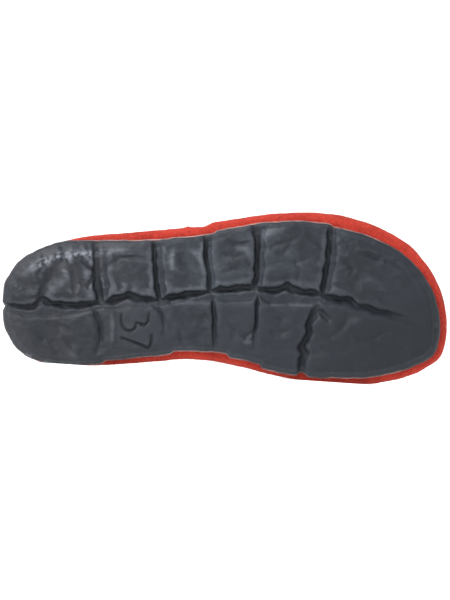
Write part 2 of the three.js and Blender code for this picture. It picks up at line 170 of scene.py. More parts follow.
@dataclass(frozen=True)
class Outline:
    """A closed outline seen from above.

    A turn from 0 to 1 goes along the inner side from heel to toe, and from 1 to 2 back along the outer side.
    A row is (share of the length, inner edge, outer edge), with the edges as shares of the ball width.
    """

    rows: tuple[tuple[float, float, float], ...]
    start: float
    extent: float
    width: float = BALL_WIDTH

    def point(self, turn: np.ndarray) -> np.ndarray:
        """Points of the outline.

        Args:
            turn: Where on the loop.

        Returns:
            An array of n by 2, in millimetres.
        """
        wrapped = np.asarray(turn, dtype=float) % 2.0
        at, inner, outer = (tuple(row[i] for row in self.rows) for i in range(3))
        station = np.where(wrapped <= 1.0, wrapped, 2.0 - wrapped)
        across = np.where(wrapped <= 1.0, Column(at, inner)(station), Column(at, outer)(station))
        return np.stack([self.start + self.extent * share_at(station), self.width * across], axis=-1)

    def outward(self, turn: np.ndarray) -> np.ndarray:
        """Unit vectors out of the outline, for an array of turns."""
        nudge = 0.004
        along = self.point(np.asarray(turn) + nudge) - self.point(np.asarray(turn) - nudge)
        along /= np.linalg.norm(along, axis=-1, keepdims=True)
        return np.stack([-along[..., 1], along[..., 0]], axis=-1)


SOLE_OUTLINE = Outline(
    rows=(
        (0, -0.005, -0.005),
        (0.002, 0.118, -0.106),
        (0.01, 0.185, -0.157),
        (0.03, 0.266, -0.233),
        (0.06, 0.321, -0.289),
        (0.1, 0.352, -0.335),
        (0.15, 0.366, -0.366),
        (0.2, 0.356, -0.367),
        (0.27, 0.332, -0.367),
        (0.34, 0.31, -0.372),
        (0.42, 0.284, -0.388),
        (0.48, 0.292, -0.412),
        (0.54, 0.328, -0.447),
        (0.6, 0.383, -0.471),
        (0.67, 0.424, -0.48),
        (0.74, 0.438, -0.46),
        (0.81, 0.441, -0.413),
        (0.87, 0.422, -0.355),
        (0.92, 0.39, -0.278),
        (0.96, 0.345, -0.168),
        (0.985, 0.303, -0.058),
        (1, 0.155, 0.155),
    ),
    start=0.0,
    extent=SOLE_LENGTH,
)
FELT_OUTLINE = Outline(
    rows=(
        (0, 0, 0),
        (0.002, 0.115, -0.105),
        (0.01, 0.178, -0.164),
        (0.03, 0.25, -0.226),
        (0.06, 0.303, -0.281),
        (0.1, 0.339, -0.333),
        (0.15, 0.361, -0.374),
        (0.2, 0.363, -0.392),
        (0.28, 0.354, -0.41),
        (0.36, 0.338, -0.427),
        (0.41, 0.327, -0.439),
        (0.446, 0.331, -0.446),
        (0.468, 0.337, -0.47),
        (0.53, 0.371, -0.494),
        (0.6, 0.417, -0.517),
        (0.67, 0.453, -0.529),
        (0.74, 0.47, -0.516),
        (0.81, 0.471, -0.474),
        (0.87, 0.454, -0.411),
        (0.92, 0.421, -0.325),
        (0.96, 0.367, -0.203),
        (0.985, 0.314, -0.082),
        (0.996, 0.24, 0.02),
        (1, 0.139, 0.139),
    ),
    start=2.0,
    extent=256.0,
)

# (share of the sole's length, side, step in millimetres): the blocks' sides stand in and out of its line.
EDGE_STEPS = (
    (0.228, Side.INNER, -1.5),
    (0.385, Side.INNER, -1.5),
    (0.514, Side.INNER, 1.8),
    (0.588, Side.INNER, 2.0),
    (0.674, Side.INNER, -1.2),
    (0.694, Side.INNER, 1.2),
    (0.485, Side.OUTER, 1.1),
    (0.752, Side.OUTER, -1.4),
)

# Side view of the sole: (share, toe spring, arch lift, heel round, thickness).
SIDE_ROWS = (
    (0, 0, 0, 1, 0.9),
    (0.03, 0, 0, 0.3, 0.97),
    (0.08, 0, 0, 0, 1),
    (0.3, 0, 0, 0, 0.97),
    (0.45, 0, 1, 0, 0.85),
    (0.6, 0, 0, 0, 0.8),
    (0.76, 0, 0, 0, 0.77),
    (0.88, 0.32, 0, 0, 0.74),
    (1, 1, 0, 0, 0.7),
)


@dataclass(frozen=True)
class SideView:
    """Heights of the sole along its length."""

    toe_spring: float = 8.0
    arch_lift: float = 1.5
    heel_round: float = 2.2
    thickness: float = 13.0

    def _column(self, i: int) -> Column:
        """One column of the side view's table."""
        return Column(tuple(row[0] for row in SIDE_ROWS), tuple(row[i] for row in SIDE_ROWS))

    def bottom(self, station: np.ndarray) -> np.ndarray:
        """Height of the tread above the ground at each station."""
        spring, arch, heel = (self._column(i)(station) for i in (1, 2, 3))
        return self.toe_spring * spring + self.arch_lift * arch + self.heel_round * heel

    def top(self, station: np.ndarray) -> np.ndarray:
        """Height of the sole's upper face at each station."""
        return self.bottom(station) + self.thickness * self._column(4)(station)


SIDE_VIEW = SideView()


def stations_of(turn: np.ndarray) -> np.ndarray:
    """The station of each turn of a loop."""
    wrapped = np.asarray(turn, dtype=float) % 2.0
    return np.where(wrapped <= 1.0, wrapped, 2.0 - wrapped)


def edge_step(turn: np.ndarray, run: float = 3.0, reach: float = 15.0) -> np.ndarray:
    """How far the sole's edge stands off its smooth line.

    Args:
        turn: Places on the loop.
        run: Length over which the edge steps.
        reach: How far from a step the edge is back on its line.

    Returns:
        The offset in millimetres, positive outwards.
    """
    wrapped = np.asarray(turn, dtype=float) % 2.0
    x = SOLE_LENGTH * share_at(stations_of(turn))
    offset = np.zeros_like(x)
    for share, side, jump in EDGE_STEPS:
        distance = x - SOLE_LENGTH * share
        here = (np.abs(distance) <= reach) & ((wrapped <= 1.0) == (side is Side.INNER))
        ramp = smooth(distance, -run / 2, run / 2) - (1 + distance / reach) / 2
        offset += np.where(here, jump * ramp, 0.0)
    return offset


class Pose:
    """Lays the upright shoe down on its inner side, in the row frame."""

    def __init__(self, settle: float = 1.0) -> None:
        """Finds the line on the floor that touches the sole's side at the heel and the felt at the ball.

        Args:
            settle: Depth of the flats where the shoe rests.
        """
        turns = np.linspace(0.0, 1.0, 401)
        rim = np.vstack([FELT_OUTLINE.point(turns), SOLE_OUTLINE.point(turns)])
        low, high = -0.5, 0.5
        for _ in range(40):
            middle = (low + high) / 2
            if rim[np.argmax(rim[:, 1] - middle * rim[:, 0]), 0] > SOLE_LENGTH / 2:
                low = middle
            else:
                high = middle
        touch = rim[np.argmax(rim[:, 1] - low * rim[:, 0])]
        angle = math.atan(low)
        self.c, self.s = math.cos(angle), math.sin(angle)
        loop = np.linspace(0.0, 2.0, 1600)
        sole = SOLE_OUTLINE.point(loop) + SOLE_OUTLINE.outward(loop) * edge_step(loop)[:, None]
        along = np.vstack([sole, FELT_OUTLINE.point(loop)]) @ np.array([self.c, self.s])
        self.shift = np.array(
            [
                -(along.min() + along.max()) / 2,
                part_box("outsole")[0][1] * 1000.0,
                (touch[1] - low * touch[0]) * self.c - settle,
            ]
        )

    def place(self, points: np.ndarray) -> np.ndarray:
        """Points in the row frame.

        Args:
            points: An array of n by 3 on the upright shoe, in millimetres.

        Returns:
            The same points in metres, none of them below the floor.
        """
        x, y, z = np.asarray(points, dtype=float).T
        row = np.stack([self.c * x + self.s * y, z, self.s * x - self.c * y], axis=-1) + self.shift
        row[:, 2] = np.maximum(row[:, 2], 0.0)
        return row / 1000.0

    def direction(self, x: float, y: float, z: float) -> Vector:
        """A direction of the upright shoe in the row frame."""
        return Vector((self.c * x + self.s * y, z, self.s * x - self.c * y))


@dataclass
class Weave:
    """Vertices and faces gathered into one mesh."""

    points: list[np.ndarray] = field(default_factory=list)
    quads: list[np.ndarray] = field(default_factory=list)
    triangles: list[np.ndarray] = field(default_factory=list)
    count: int = 0

    def add(self, points: np.ndarray) -> np.ndarray:
        """Adds points.

        Args:
            points: An array whose last axis is x, y and z.

        Returns:
            The numbers of the new vertices, in the shape of the array's other axes.
        """
        flat = points.reshape(-1, 3)
        numbers = np.arange(self.count, self.count + len(flat)).reshape(points.shape[:-1])
        self.points.append(flat)
        self.count += len(flat)
        return numbers

    def sheet(self, numbers: np.ndarray, closed: bool = False) -> None:
        """Faces between the rows of a grid of vertex numbers. With closed, each row is a loop."""
        if closed:
            numbers = np.concatenate([numbers, numbers[:, :1]], axis=1)
        a, b = numbers[:-1, :-1], numbers[:-1, 1:]
        c, d = numbers[1:, 1:], numbers[1:, :-1]
        self.quads.append(np.stack([a, b, c, d], axis=-1).reshape(-1, 4))

    def all_points(self) -> np.ndarray:
        """All vertices so far, n by 3."""
        return np.vstack(self.points)

    def build(self, name: str, points: np.ndarray, attributes: dict[str, np.ndarray]) -> bpy.types.Object:
        """Makes the object, closed and with its faces outwards.

        Args:
            name: The object's name.
            points: The vertices' places, in metres.
            attributes: A number for each vertex, by name.

        Returns:
            The object, linked to the scene.
        """
        mesh = bpy.data.meshes.new(name)
        quads = np.vstack(self.quads)
        triangles = np.vstack(self.triangles) if self.triangles else np.zeros((0, 3), int)
        mesh.vertices.add(len(points))
        mesh.vertices.foreach_set("co", points.astype(np.float32).ravel())
        loops = np.concatenate([quads.ravel(), triangles.ravel()]).astype(np.int32)
        sizes = np.concatenate([np.full(len(quads), 4), np.full(len(triangles), 3)])
        mesh.loops.add(len(loops))
        mesh.loops.foreach_set("vertex_index", loops)
        mesh.polygons.add(len(sizes))
        mesh.polygons.foreach_set("loop_start", (np.cumsum(sizes) - sizes).astype(np.int32))
        mesh.update(calc_edges=True)
        for key, values in attributes.items():
            layer = mesh.attributes.new(key, "FLOAT", "POINT")
            layer.data.foreach_set("value", values.astype(np.float32))
        welded = bmesh.new()
        welded.from_mesh(mesh)
        bmesh.ops.remove_doubles(welded, verts=welded.verts, dist=WELD)
        bmesh.ops.dissolve_degenerate(welded, edges=welded.edges, dist=SLIVER)
        bmesh.ops.recalc_face_normals(welded, faces=welded.faces)
        for face in welded.faces:
            face.smooth = True
        welded.to_mesh(mesh)
        welded.free()
        made = bpy.data.objects.new(name, mesh)
        bpy.context.scene.collection.objects.link(made)
        return made


@dataclass(frozen=True)
class Patch:
    """A grid of even quads that fills a closed outline, with two sides, a heel end and a toe end."""

    along: int
    across: int
    heel: float = 0.045
    toe: float = 0.93

    def turns(self, outline: Outline) -> np.ndarray:
        """Where on the loop the grid's border lies, in order round it.

        Args:
            outline: The outline to fill.

        Returns:
            One turn for each border vertex: the inner side, the toe, the outer side, the heel.
        """
        a, b = float(station_at(np.array(self.heel))), float(station_at(np.array(self.toe)))
        parts = []
        for start, end, count in (
            (a, b, self.along),
            (b, 2 - b, self.across),
            (2 - b, 2 - a, self.along),
            (2 - a, 2 + a, self.across),
        ):
            fine = np.linspace(start, end, 1500)
            steps = np.linalg.norm(np.diff(outline.point(fine), axis=0), axis=1)
            length = np.concatenate([[0.0], np.cumsum(steps)])
            parts.append(np.interp(np.linspace(0, length[-1], count + 1)[:-1], length, fine))
        return np.concatenate(parts)

    def fill(self, border: np.ndarray) -> np.ndarray:
        """Blends the border over the inside.

        Args:
            border: The border's points in the order of turns, n by 2.

        Returns:
            The grid, (along + 1) by (across + 1) by 2.
        """
        n, m = self.along, self.across
        inner = border[: n + 1]
        toe = border[n : n + m + 1]
        outer = border[n + m : 2 * n + m + 1][::-1]
        heel = np.vstack([border[2 * n + m :], border[:1]])[::-1]
        s = np.linspace(0, 1, n + 1)[:, None, None]
        t = np.linspace(0, 1, m + 1)[None, :, None]
        sides = (1 - t) * inner[:, None] + t * outer[:, None]
        ends = (1 - s) * heel[None] + s * toe[None]
        corners = (
            (1 - s) * (1 - t) * inner[0]
            + (1 - s) * t * outer[0]
            + s * (1 - t) * inner[-1]
            + s * t * outer[-1]
        )
        return sides + ends - corners

    def border(self, numbers: np.ndarray) -> np.ndarray:
        """The border's vertex numbers, in the order of turns, from a grid of them."""
        return np.concatenate([numbers[:-1, 0], numbers[-1, :-1], numbers[:0:-1, -1], numbers[0, :0:-1]])


@dataclass(frozen=True)
class Drawing:
    """The 450 by 600 drawing that the sole's relief is placed on: columns from the left, rows from the top.

    A step is one column or row in millimetres. The heel's back lies on column heel, and the shoe's axis on
    row middle.
    """

    step: float = 0.5811
    heel: float = 3.5
    middle: float = 303.0
    rows: int = 600

    def place(self, column: np.ndarray, row: np.ndarray) -> tuple[np.ndarray, np.ndarray]:
        """A place of the drawing on the upright shoe, in millimetres."""
        return (column - self.heel) * self.step, (row - self.middle) * self.step


DRAWING = Drawing()


class Walls(Enum):
    """How the two walls of a groove stand."""

    EVEN = "even"
    LEANING = "leaning"
    SOFT = "soft"


@dataclass(frozen=True)
class Groove:
    """A groove along a route of (column, row, width, depth), with the last two in millimetres."""

    route: tuple[tuple[float, float, float, float], ...]
    walls: Walls = Walls.EVEN
    shelf: float = 0.0
    shelf_share: float = 0.42
    dent_depth: float = 0.78
    dent_spread: float = 1.22
    out_of_reach: float = 50.0

    def read(self, x: np.ndarray, y: np.ndarray) -> tuple[np.ndarray, np.ndarray, np.ndarray, np.ndarray]:
        """Distance to the groove's middle.

        Args:
            x: Places along the shoe, in millimetres.
            y: Places across it.

        Returns:
            The signed distance, positive to the inner side or the toe, the plain distance, the width and
            the depth there.
        """
        best = np.full(x.shape, 1e9)
        signed, width, depth = np.zeros(x.shape), np.ones(x.shape), np.zeros(x.shape)
        for a, b in zip(self.route[:-1], self.route[1:]):
            ax, ay = DRAWING.place(a[0], a[1])
            bx, by = DRAWING.place(b[0], b[1])
            dx, dy = bx - ax, by - ay
            span = dx * dx + dy * dy
            t = np.clip(((x - ax) * dx + (y - ay) * dy) / span, 0, 1)
            ex, ey = x - ax - t * dx, y - ay - t * dy
            far = np.hypot(ex, ey)
            nearer = far < best
            best = np.where(nearer, far, best)
            turn = (dx * ey - dy * ex) * (1 if dx > abs(dy) else -1 if dy > 0 else 1)
            signed = np.where(nearer, np.where(turn >= 0, far, -far), signed)
            width = np.where(nearer, a[2] + t * (b[2] - a[2]), width)
            depth = np.where(nearer, a[3] + t * (b[3] - a[3]), depth)
        return signed, best, width, depth

    def cut(self, x: np.ndarray, y: np.ndarray) -> tuple[np.ndarray, np.ndarray]:
        """Depth of the groove at each place, and the distance past its edge, in millimetres."""
        signed, far, width, depth = self.read(x, y)
        half = width / 2
        if self.walls is Walls.LEANING:
            half = half * (1 + 0.28 * np.sin(0.37 * x + 0.21 * y) * np.sin(0.23 * x - 0.41 * y + 1.3))
        if self.walls is Walls.SOFT:
            bowl = np.exp(-((far / (self.dent_spread * half)) ** 2))
            return self.dent_depth * depth * bowl, far + self.out_of_reach
        if self.walls is Walls.EVEN:
            return depth * (1 - smooth(far, 0.25 * half, half + 0.7)), far - half
        steep = smooth(signed, -half - 0.75, -half + 0.95)
        floor = 1 - smooth(signed, 0.0, half + 1.9)
        reach = half + self.shelf
        shelf = self.shelf_share * (1 - smooth(signed, reach - 0.7, reach + 0.7))
        return depth * steep * np.maximum(floor, shelf), far - np.where(signed < 0, half, reach)


def groove(walls: Walls, *route: tuple[float, float, float, float], shelf: float = 0.0) -> Groove:
    """A groove with the given walls along a route, and a shelf of the given width on one side."""
    return Groove(route, walls, shelf)


def soft_grooves(*routes: tuple[tuple[float, float, float, float], ...]) -> tuple[Groove, ...]:
    """A soft dent along each route. A negative depth makes a rise."""
    return tuple(Groove(route, Walls.SOFT) for route in routes)


# The grooves' places and widths are drawn. The long groove parts the outer blocks from the inner.
LONG_GROOVE = groove(
    Walls.LEANING,
    (2, 305.3, 1.6, 1.3), (12, 306.6, 2.2, 2.2), (24, 308.2, 3.4, 2.9), (34, 307.6, 3.7, 3.0),
    (38.5, 303, 3.7, 2.8), (43, 300.4, 3.4, 2.7), (51, 303.6, 3.9, 3.2), (63, 305.6, 4.1, 3.5),
    (78, 306, 4.1, 3.5), (90, 305, 3.7, 3.2), (98, 303.2, 2.2, 2.5), (105, 302.6, 2.0, 2.4),
    (112, 301.4, 3.7, 3.2), (120, 298.8, 4.1, 3.4), (128, 295.2, 3.7, 3.2), (137, 298.6, 4.1, 3.4),
    (147, 300.2, 3.7, 3.3), (155, 299.8, 2.0, 2.5), (163, 298, 2.0, 2.4), (170, 297.2, 3.9, 3.4),
    (184, 295.4, 4.6, 3.7), (197, 293.4, 4.1, 3.5), (207, 291.4, 2.0, 2.5), (214, 290.2, 2.9, 2.7),
    (222, 289.4, 4.4, 3.6), (235, 289.6, 4.6, 3.7), (248, 288.2, 3.9, 3.4), (257, 288.4, 2.2, 2.6),
    (264, 290, 3.7, 3.2), (275, 291, 4.1, 3.5), (281, 289.4, 4.6, 3.5), (287, 286.8, 5.4, 3.5),
    (293, 289.4, 4.6, 3.5), (302, 292.6, 4.1, 3.5), (313, 293.8, 3.7, 3.2), (322, 294.6, 2.2, 2.6),
    (330, 297.6, 3.9, 3.2), (340, 299.6, 4.1, 3.2), (350, 301.4, 3.2, 2.8), (358, 305, 2.2, 2.4),
    (370, 308.8, 2.9, 2.5), (385, 312, 2.0, 2.0), (398, 315, 1.8, 1.4), (416, 321, 1.6, 0.0),
)
# (column, row, depth of the ledge above it): the upper edge of the inner blocks, below the long groove.
INNER_BLOCK_TOPS = (
    (0, 309.5, 0.8), (7, 312, 1.2), (25, 317.6, 1.4), (45, 317.2, 1.1), (64, 317, 1.2), (92, 311.6, 1.3),
    (104, 309.5, 1.0), (112, 310.5, 0.8), (130, 308, 0.8), (150, 307, 1.0), (171, 303.6, 1.3),
    (190, 302.6, 1.4),
    (211, 302.4, 1.3), (216, 300, 0.9), (230, 301.6, 1.4), (252, 300.4, 1.4), (258, 297.6, 1.0),
    (270, 304.2, 1.4), (311, 304.6, 1.4), (325, 304, 1.1), (345, 306, 0.9), (360, 311, 0.8),
    (385, 317, 0.6),
    (405, 322, 0.3), (420, 326, 0.0), (445, 330, 0.0),
)
# Between the outer blocks from heel to toe, then between the inner ones.
CROSS_GROOVES = (
    groove(
        Walls.LEANING, (95.5, 232, 3.2, 0.2), (96, 241, 4.4, 1.6), (96.4, 252, 5.0, 2.3),
        (96.4, 266, 4.4, 2.6),
        (98, 280, 5.0, 3.3), (99.4, 291, 5.4, 3.6), (100.4, 301, 4.4, 3.0), shelf=2.6,
    ),
    groove(
        Walls.LEANING, (152.6, 236, 1.2, 0.0), (153.2, 244, 2.2, 2.2), (154.4, 256, 2.4, 3.1),
        (155, 268, 2.4, 3.3), (156.2, 280, 2.6, 3.5), (157.6, 290, 2.6, 3.4),
        (158.5, 298, 2.4, 3.0), shelf=3.2,
    ),
    groove(
        Walls.LEANING, (205, 229, 1.2, 0.0), (205.8, 238, 1.8, 1.4), (206.2, 247, 2.6, 3.0),
        (204.8, 254, 3.0, 3.4), (206.4, 263, 2.6, 3.0), (208.6, 274, 2.2, 2.6), (209.4, 283, 2.6, 2.8),
        (209.5, 291, 2.4, 2.8), shelf=2.0,
    ),
    groove(
        Walls.LEANING, (256.4, 222, 1.6, 0.0), (257.2, 231, 4.6, 2.2), (257.8, 241, 4.6, 3.2),
        (257.6, 250, 3.8, 3.3), (256.6, 262, 3.4, 3.2), (257.2, 274, 3.2, 3.2), (255.4, 283, 3.4, 3.1),
        (255, 289, 2.6, 2.8), shelf=2.4,
    ),
    groove(
        Walls.LEANING, (331.5, 226, 1.6, 0.0), (330, 233, 2.6, 2.4), (329, 243, 3.0, 3.0),
        (328.6, 253, 3.4, 3.1), (327.4, 264, 2.8, 3.0), (325.2, 277, 2.6, 3.0), (323.4, 288, 3.0, 2.9),
        (322.4, 293, 2.4, 2.8), shelf=2.6,
    ),
    groove(
        Walls.EVEN, (92.5, 308, 1.4, 1.4), (97, 316, 1.8, 1.3), (100.6, 325, 1.8, 1.1),
        (101, 338, 1.6, 0.8),
        (98, 352, 1.6, 0.1),
    ),
    groove(
        Walls.EVEN, (153, 305, 1.4, 0.9), (159, 308.5, 1.6, 1.3), (162.6, 315, 1.6, 1.3),
        (164.4, 325, 1.6, 0.8),
        (165.5, 336, 1.2, 0.0),
    ),
    groove(
        Walls.EVEN, (212.6, 298, 1.2, 1.6), (213.6, 306, 1.9, 2.0), (214.2, 316, 2.3, 2.2),
        (214.8, 328, 2.3, 1.9),
        (215, 340, 1.9, 1.3), (216, 351, 1.4, 0.0),
    ),
    groove(
        Walls.EVEN, (257.8, 296, 1.0, 1.2), (257.2, 303, 1.5, 2.2), (256.6, 314, 1.5, 2.3),
        (255.6, 327, 1.5, 1.9),
        (255, 338, 1.8, 1.1), (254.5, 349, 1.4, 0.0),
    ),
    groove(
        Walls.EVEN, (318, 307, 2.4, 1.0), (315.3, 312, 5.4, 2.2), (312, 318.5, 4.6, 2.8),
        (308.4, 325, 3.8, 2.9),
        (309.6, 333, 4.0, 3.0), (306, 340.6, 5.6, 3.2), (301.8, 347, 4.4, 3.0), (305.4, 353.6, 4.4, 2.9),
        (302, 361, 5.2, 2.8), (301.2, 368.5, 4.4, 2.4), (300.4, 377, 3.0, 1.8),
    ),
    groove(Walls.EVEN, (316, 311, 3.0, 1.8), (322.5, 312.5, 3.4, 1.9), (328, 319, 2.6, 0.6)),
)
HAND_DENTS = soft_grooves(
    (
        (66, 253, 3.4, 1.4), (60, 263, 5.4, 2.8), (52, 275, 6.0, 3.2), (45, 286, 5.4, 2.8),
        (40, 297, 4.2, 1.9),
    ),
    ((72.6, 266, 2.0, 0.4), (73.4, 277, 2.4, 1.4), (73.8, 288, 2.4, 1.2), (73.5, 299, 1.4, 0.0)),
    ((98, 273, 3.8, 2.6), (93, 278.5, 3.6, 2.3), (88.4, 285, 3.0, 1.3), (87, 292, 2.2, 0.0)),
    ((55, 291, 4.0, -0.3), (62, 286, 5.0, -0.8), (66, 280, 4.0, -0.5)),
    ((24, 268, 3.0, -0.3), (32, 264, 3.2, -0.7), (40, 261, 2.6, -0.4)),
    ((62, 251, 2.6, 1.7), (65, 259, 3.0, 2.0), (69, 268, 2.4, 0.6)),
    ((46, 256.5, 2.4, 1.3), (44, 266, 2.6, 1.3), (37, 274, 2.4, 0.5)),
    ((79, 251, 2.0, 1.1), (84, 262, 2.2, 1.4), (91, 268, 2.2, 1.0)),
    ((87, 249, 1.8, 0.9), (90, 257, 1.8, 0.9), (95, 261, 1.6, 0.4)),
    ((55, 253, 1.8, 0.8), (54, 259, 1.8, 0.7)),
    ((17, 282, 3.2, 0.8), (27, 285.5, 4.4, 1.5), (38, 282, 3.2, 0.9)),
    ((22, 296, 3.4, 0.4), (32, 298, 3.4, 0.7), (40, 295, 2.6, 0.3)),
    ((80, 273, 3.4, 0.7), (82, 284, 3.6, 0.8), (79, 295, 2.6, 0.3)),
    ((108, 263, 3.2, 0.6), (121, 258.2, 2.0, 1.5), (134, 257.4, 2.2, 1.7), (146, 258, 1.8, 0.6)),
    ((117, 276, 3.4, 0.9), (120, 283, 3.8, 1.6), (119, 291, 3.0, 1.0)),
    ((126, 280, 2.2, 0.5), (129, 287, 2.4, 1.0), (129, 293, 2.4, 0.9)),
    ((138, 268, 3.6, 0.4), (146, 276, 3.6, 0.8), (149, 286, 3.0, 0.5)),
    ((112, 249, 2.6, 0.0), (122, 250.5, 3.2, -0.9), (131, 248, 2.4, -0.4)),
    ((168, 250, 2.2, 0.4), (172, 248.5, 2.2, 0.7), (178, 250, 2.0, 0.5)),
    ((182, 248.5, 2.2, 0.5), (192, 247, 2.2, 0.9), (203, 247.5, 1.8, 0.3)),
    ((173, 256, 2.6, -0.5), (171.5, 263, 2.8, -0.9), (172, 270, 2.4, -0.5)),
    ((181, 257, 4.0, 0.8), (188, 263, 5.0, 1.2), (190, 274, 5.0, 0.9), (183, 282, 4.0, 0.4)),
    ((196, 255, 2.6, -0.7), (201, 262, 2.4, -0.6), (202, 270, 2.2, -0.2)),
    ((170, 284, 2.8, 0.2), (180, 280, 2.8, 0.5), (193, 283, 2.8, 0.4)),
    ((227, 241.5, 1.8, 0.6), (234, 243.4, 2.2, 1.5), (243, 243.8, 2.0, 1.3), (252, 241, 1.6, 0.5)),
    ((222, 257, 2.4, 0.9), (229, 255.6, 2.8, 1.4), (236, 256.4, 2.2, 0.7), (244, 254, 2.0, 0.4)),
    ((225, 271.5, 2.8, 0.9), (232, 269.6, 3.2, 1.7), (240, 271, 2.4, 0.6)),
    ((240, 248, 2.8, -0.4), (247, 250.5, 2.8, -0.7), (250, 258, 2.4, -0.3)),
    ((221, 281, 2.6, 0.3), (236, 279, 3.0, 0.6), (250, 275, 2.4, 0.3)),
    ((272, 246.5, 2.4, 1.1), (281, 243.6, 2.6, 1.4), (290, 242, 2.4, 1.1), (301, 236, 2.2, 0.4)),
    ((277, 252, 3.2, 0.8), (284, 252.5, 3.4, 1.2), (290, 247, 2.4, 0.8)),
    ((271, 266, 2.6, 0.5), (284, 262, 2.6, 0.9), (298, 262.5, 2.4, 1.1), (311, 257, 2.4, 0.7)),
    ((296, 262, 2.0, 1.0), (300, 272, 2.4, 0.6), (297, 281, 2.4, 0.2)),
    ((265, 233, 3.6, -0.7), (272, 230, 3.6, -0.8), (282, 231, 3.0, -0.3)),
    ((308, 236, 2.6, 0.4), (317, 240, 3.0, 0.8), (323, 248, 2.6, 0.4)),
    ((271, 280, 2.6, 0.4), (284, 279, 3.0, 0.7), (291, 276, 2.4, 0.3)),
    ((342, 240, 2.4, 0.6), (350, 246, 2.8, 1.1), (357, 247, 2.4, 0.5)),
    ((340, 257, 2.4, 0.5), (348, 263, 3.0, 1.2), (354, 270, 2.6, 1.3), (350, 278, 2.2, 0.5)),
    ((336, 284, 3.0, 0.5), (344, 287, 3.2, 0.9), (350, 290, 2.6, 0.4)),
    ((361, 252.5, 2.4, 0.6), (369, 254.5, 2.8, 1.7), (379, 257.5, 2.8, 1.6), (388, 258, 2.4, 0.6)),
    ((388, 262, 2.4, 0.7), (396, 263, 3.0, 1.6), (404, 268, 2.4, 0.9), (410, 277, 2.2, 0.2)),
    ((355, 293, 3.6, 0.6), (354, 285, 3.8, 0.9), (358, 278, 3.6, 0.7), (366, 271, 3.0, 0.1)),
    ((362, 285, 3.4, -0.4), (370, 280, 3.6, -0.6), (380, 284, 3.4, -0.5), (386, 292, 2.8, -0.1)),
    ((324, 319, 6.0, 0.5), (317, 332, 7.0, 0.9), (313, 348, 7.0, 0.9), (310, 364, 6.0, 0.6)),
    ((334, 246, 2.2, 0.4), (344, 243.5, 2.0, 0.6), (356, 241, 1.8, 0.2)),
    ((336, 273, 2.0, 0.4), (345, 271.5, 2.0, 0.8), (352, 268.5, 1.8, 0.3)),
    ((366, 292, 2.6, 0.4), (376, 295, 2.8, 0.9), (388, 298, 2.4, 0.4)),
    ((356, 338, 2.0, 0.7), (367, 339.4, 2.2, 1.3), (378, 337, 2.0, 0.9), (390, 331, 1.8, 0.1)),
    ((324, 334, 3.4, 0.5), (331, 336.6, 4.0, 1.1), (338, 333, 3.2, 0.6), (344, 326, 3.0, 0.6)),
    ((344, 326, 3.0, 0.7), (348, 317, 3.0, 0.8), (345, 310, 2.4, 0.1)),
    ((351, 324, 3.6, -0.4), (356, 320, 4.4, -0.6), (362, 318, 3.4, -0.3)),
    ((321, 350, 3.0, 0.4), (334, 353, 3.4, 0.7), (348, 350, 2.6, 0.2)),
    ((276, 313, 2.8, 0.6), (283, 318, 3.4, 1.1), (280, 325, 2.8, 0.5)),
    ((273, 332, 2.8, 0.7), (281, 333.5, 3.6, 1.4), (290, 330, 2.6, 0.4)),
    ((264, 339, 2.6, 0.3), (273, 342, 2.8, 0.7), (283, 350, 2.4, 0.2)),
    ((240, 333, 1.8, 0.7), (246.4, 335.4, 2.4, 1.5), (253, 332, 1.8, 0.8)),
    ((244, 343, 2.0, -0.6), (249, 341.5, 2.2, -0.9), (252, 345, 1.8, -0.2)),
    ((230, 322, 2.8, 0.3), (236, 330, 3.0, 0.8), (232, 340, 2.6, 0.4)),
    ((195, 317, 3.2, 0.6), (204, 318, 3.6, 0.9), (211, 320, 2.4, 0.3)),
    ((176, 326, 2.2, -0.2), (190, 325.4, 2.0, -0.5), (206, 326, 2.0, -0.2)),
    ((181, 331, 1.6, 0.4), (181.8, 337, 1.9, 1.2), (182.4, 341, 1.4, 0.4)),
    ((50, 322, 2.8, 1.0), (58, 325.4, 4.0, 2.4), (67, 329, 3.2, 1.5), (73, 333, 2.0, 0.3)),
    ((39, 335, 2.6, 0.6), (43.5, 338.4, 3.2, 1.4), (48, 339, 2.2, 0.3)),
    ((53, 343, 3.6, 1.1), (57.5, 352, 4.6, 2.2), (62, 358, 3.2, 0.9)),
    ((63, 338, 2.6, 0.8), (70, 342, 3.4, 1.5), (74, 350, 2.2, 0.3)),
    ((68, 350, 2.6, -0.4), (73, 354, 2.8, -0.8), (78, 350, 2.4, -0.3)),
    ((95, 310, 4.2, 0.7), (100, 322, 5.4, 1.2), (101, 337, 5.4, 1.3), (97, 352, 4.6, 0.8)),
    ((112, 312, 2.0, -0.3), (113, 326, 2.4, -0.6), (112, 340, 2.2, -0.4), (110, 351, 2.0, -0.1)),
)
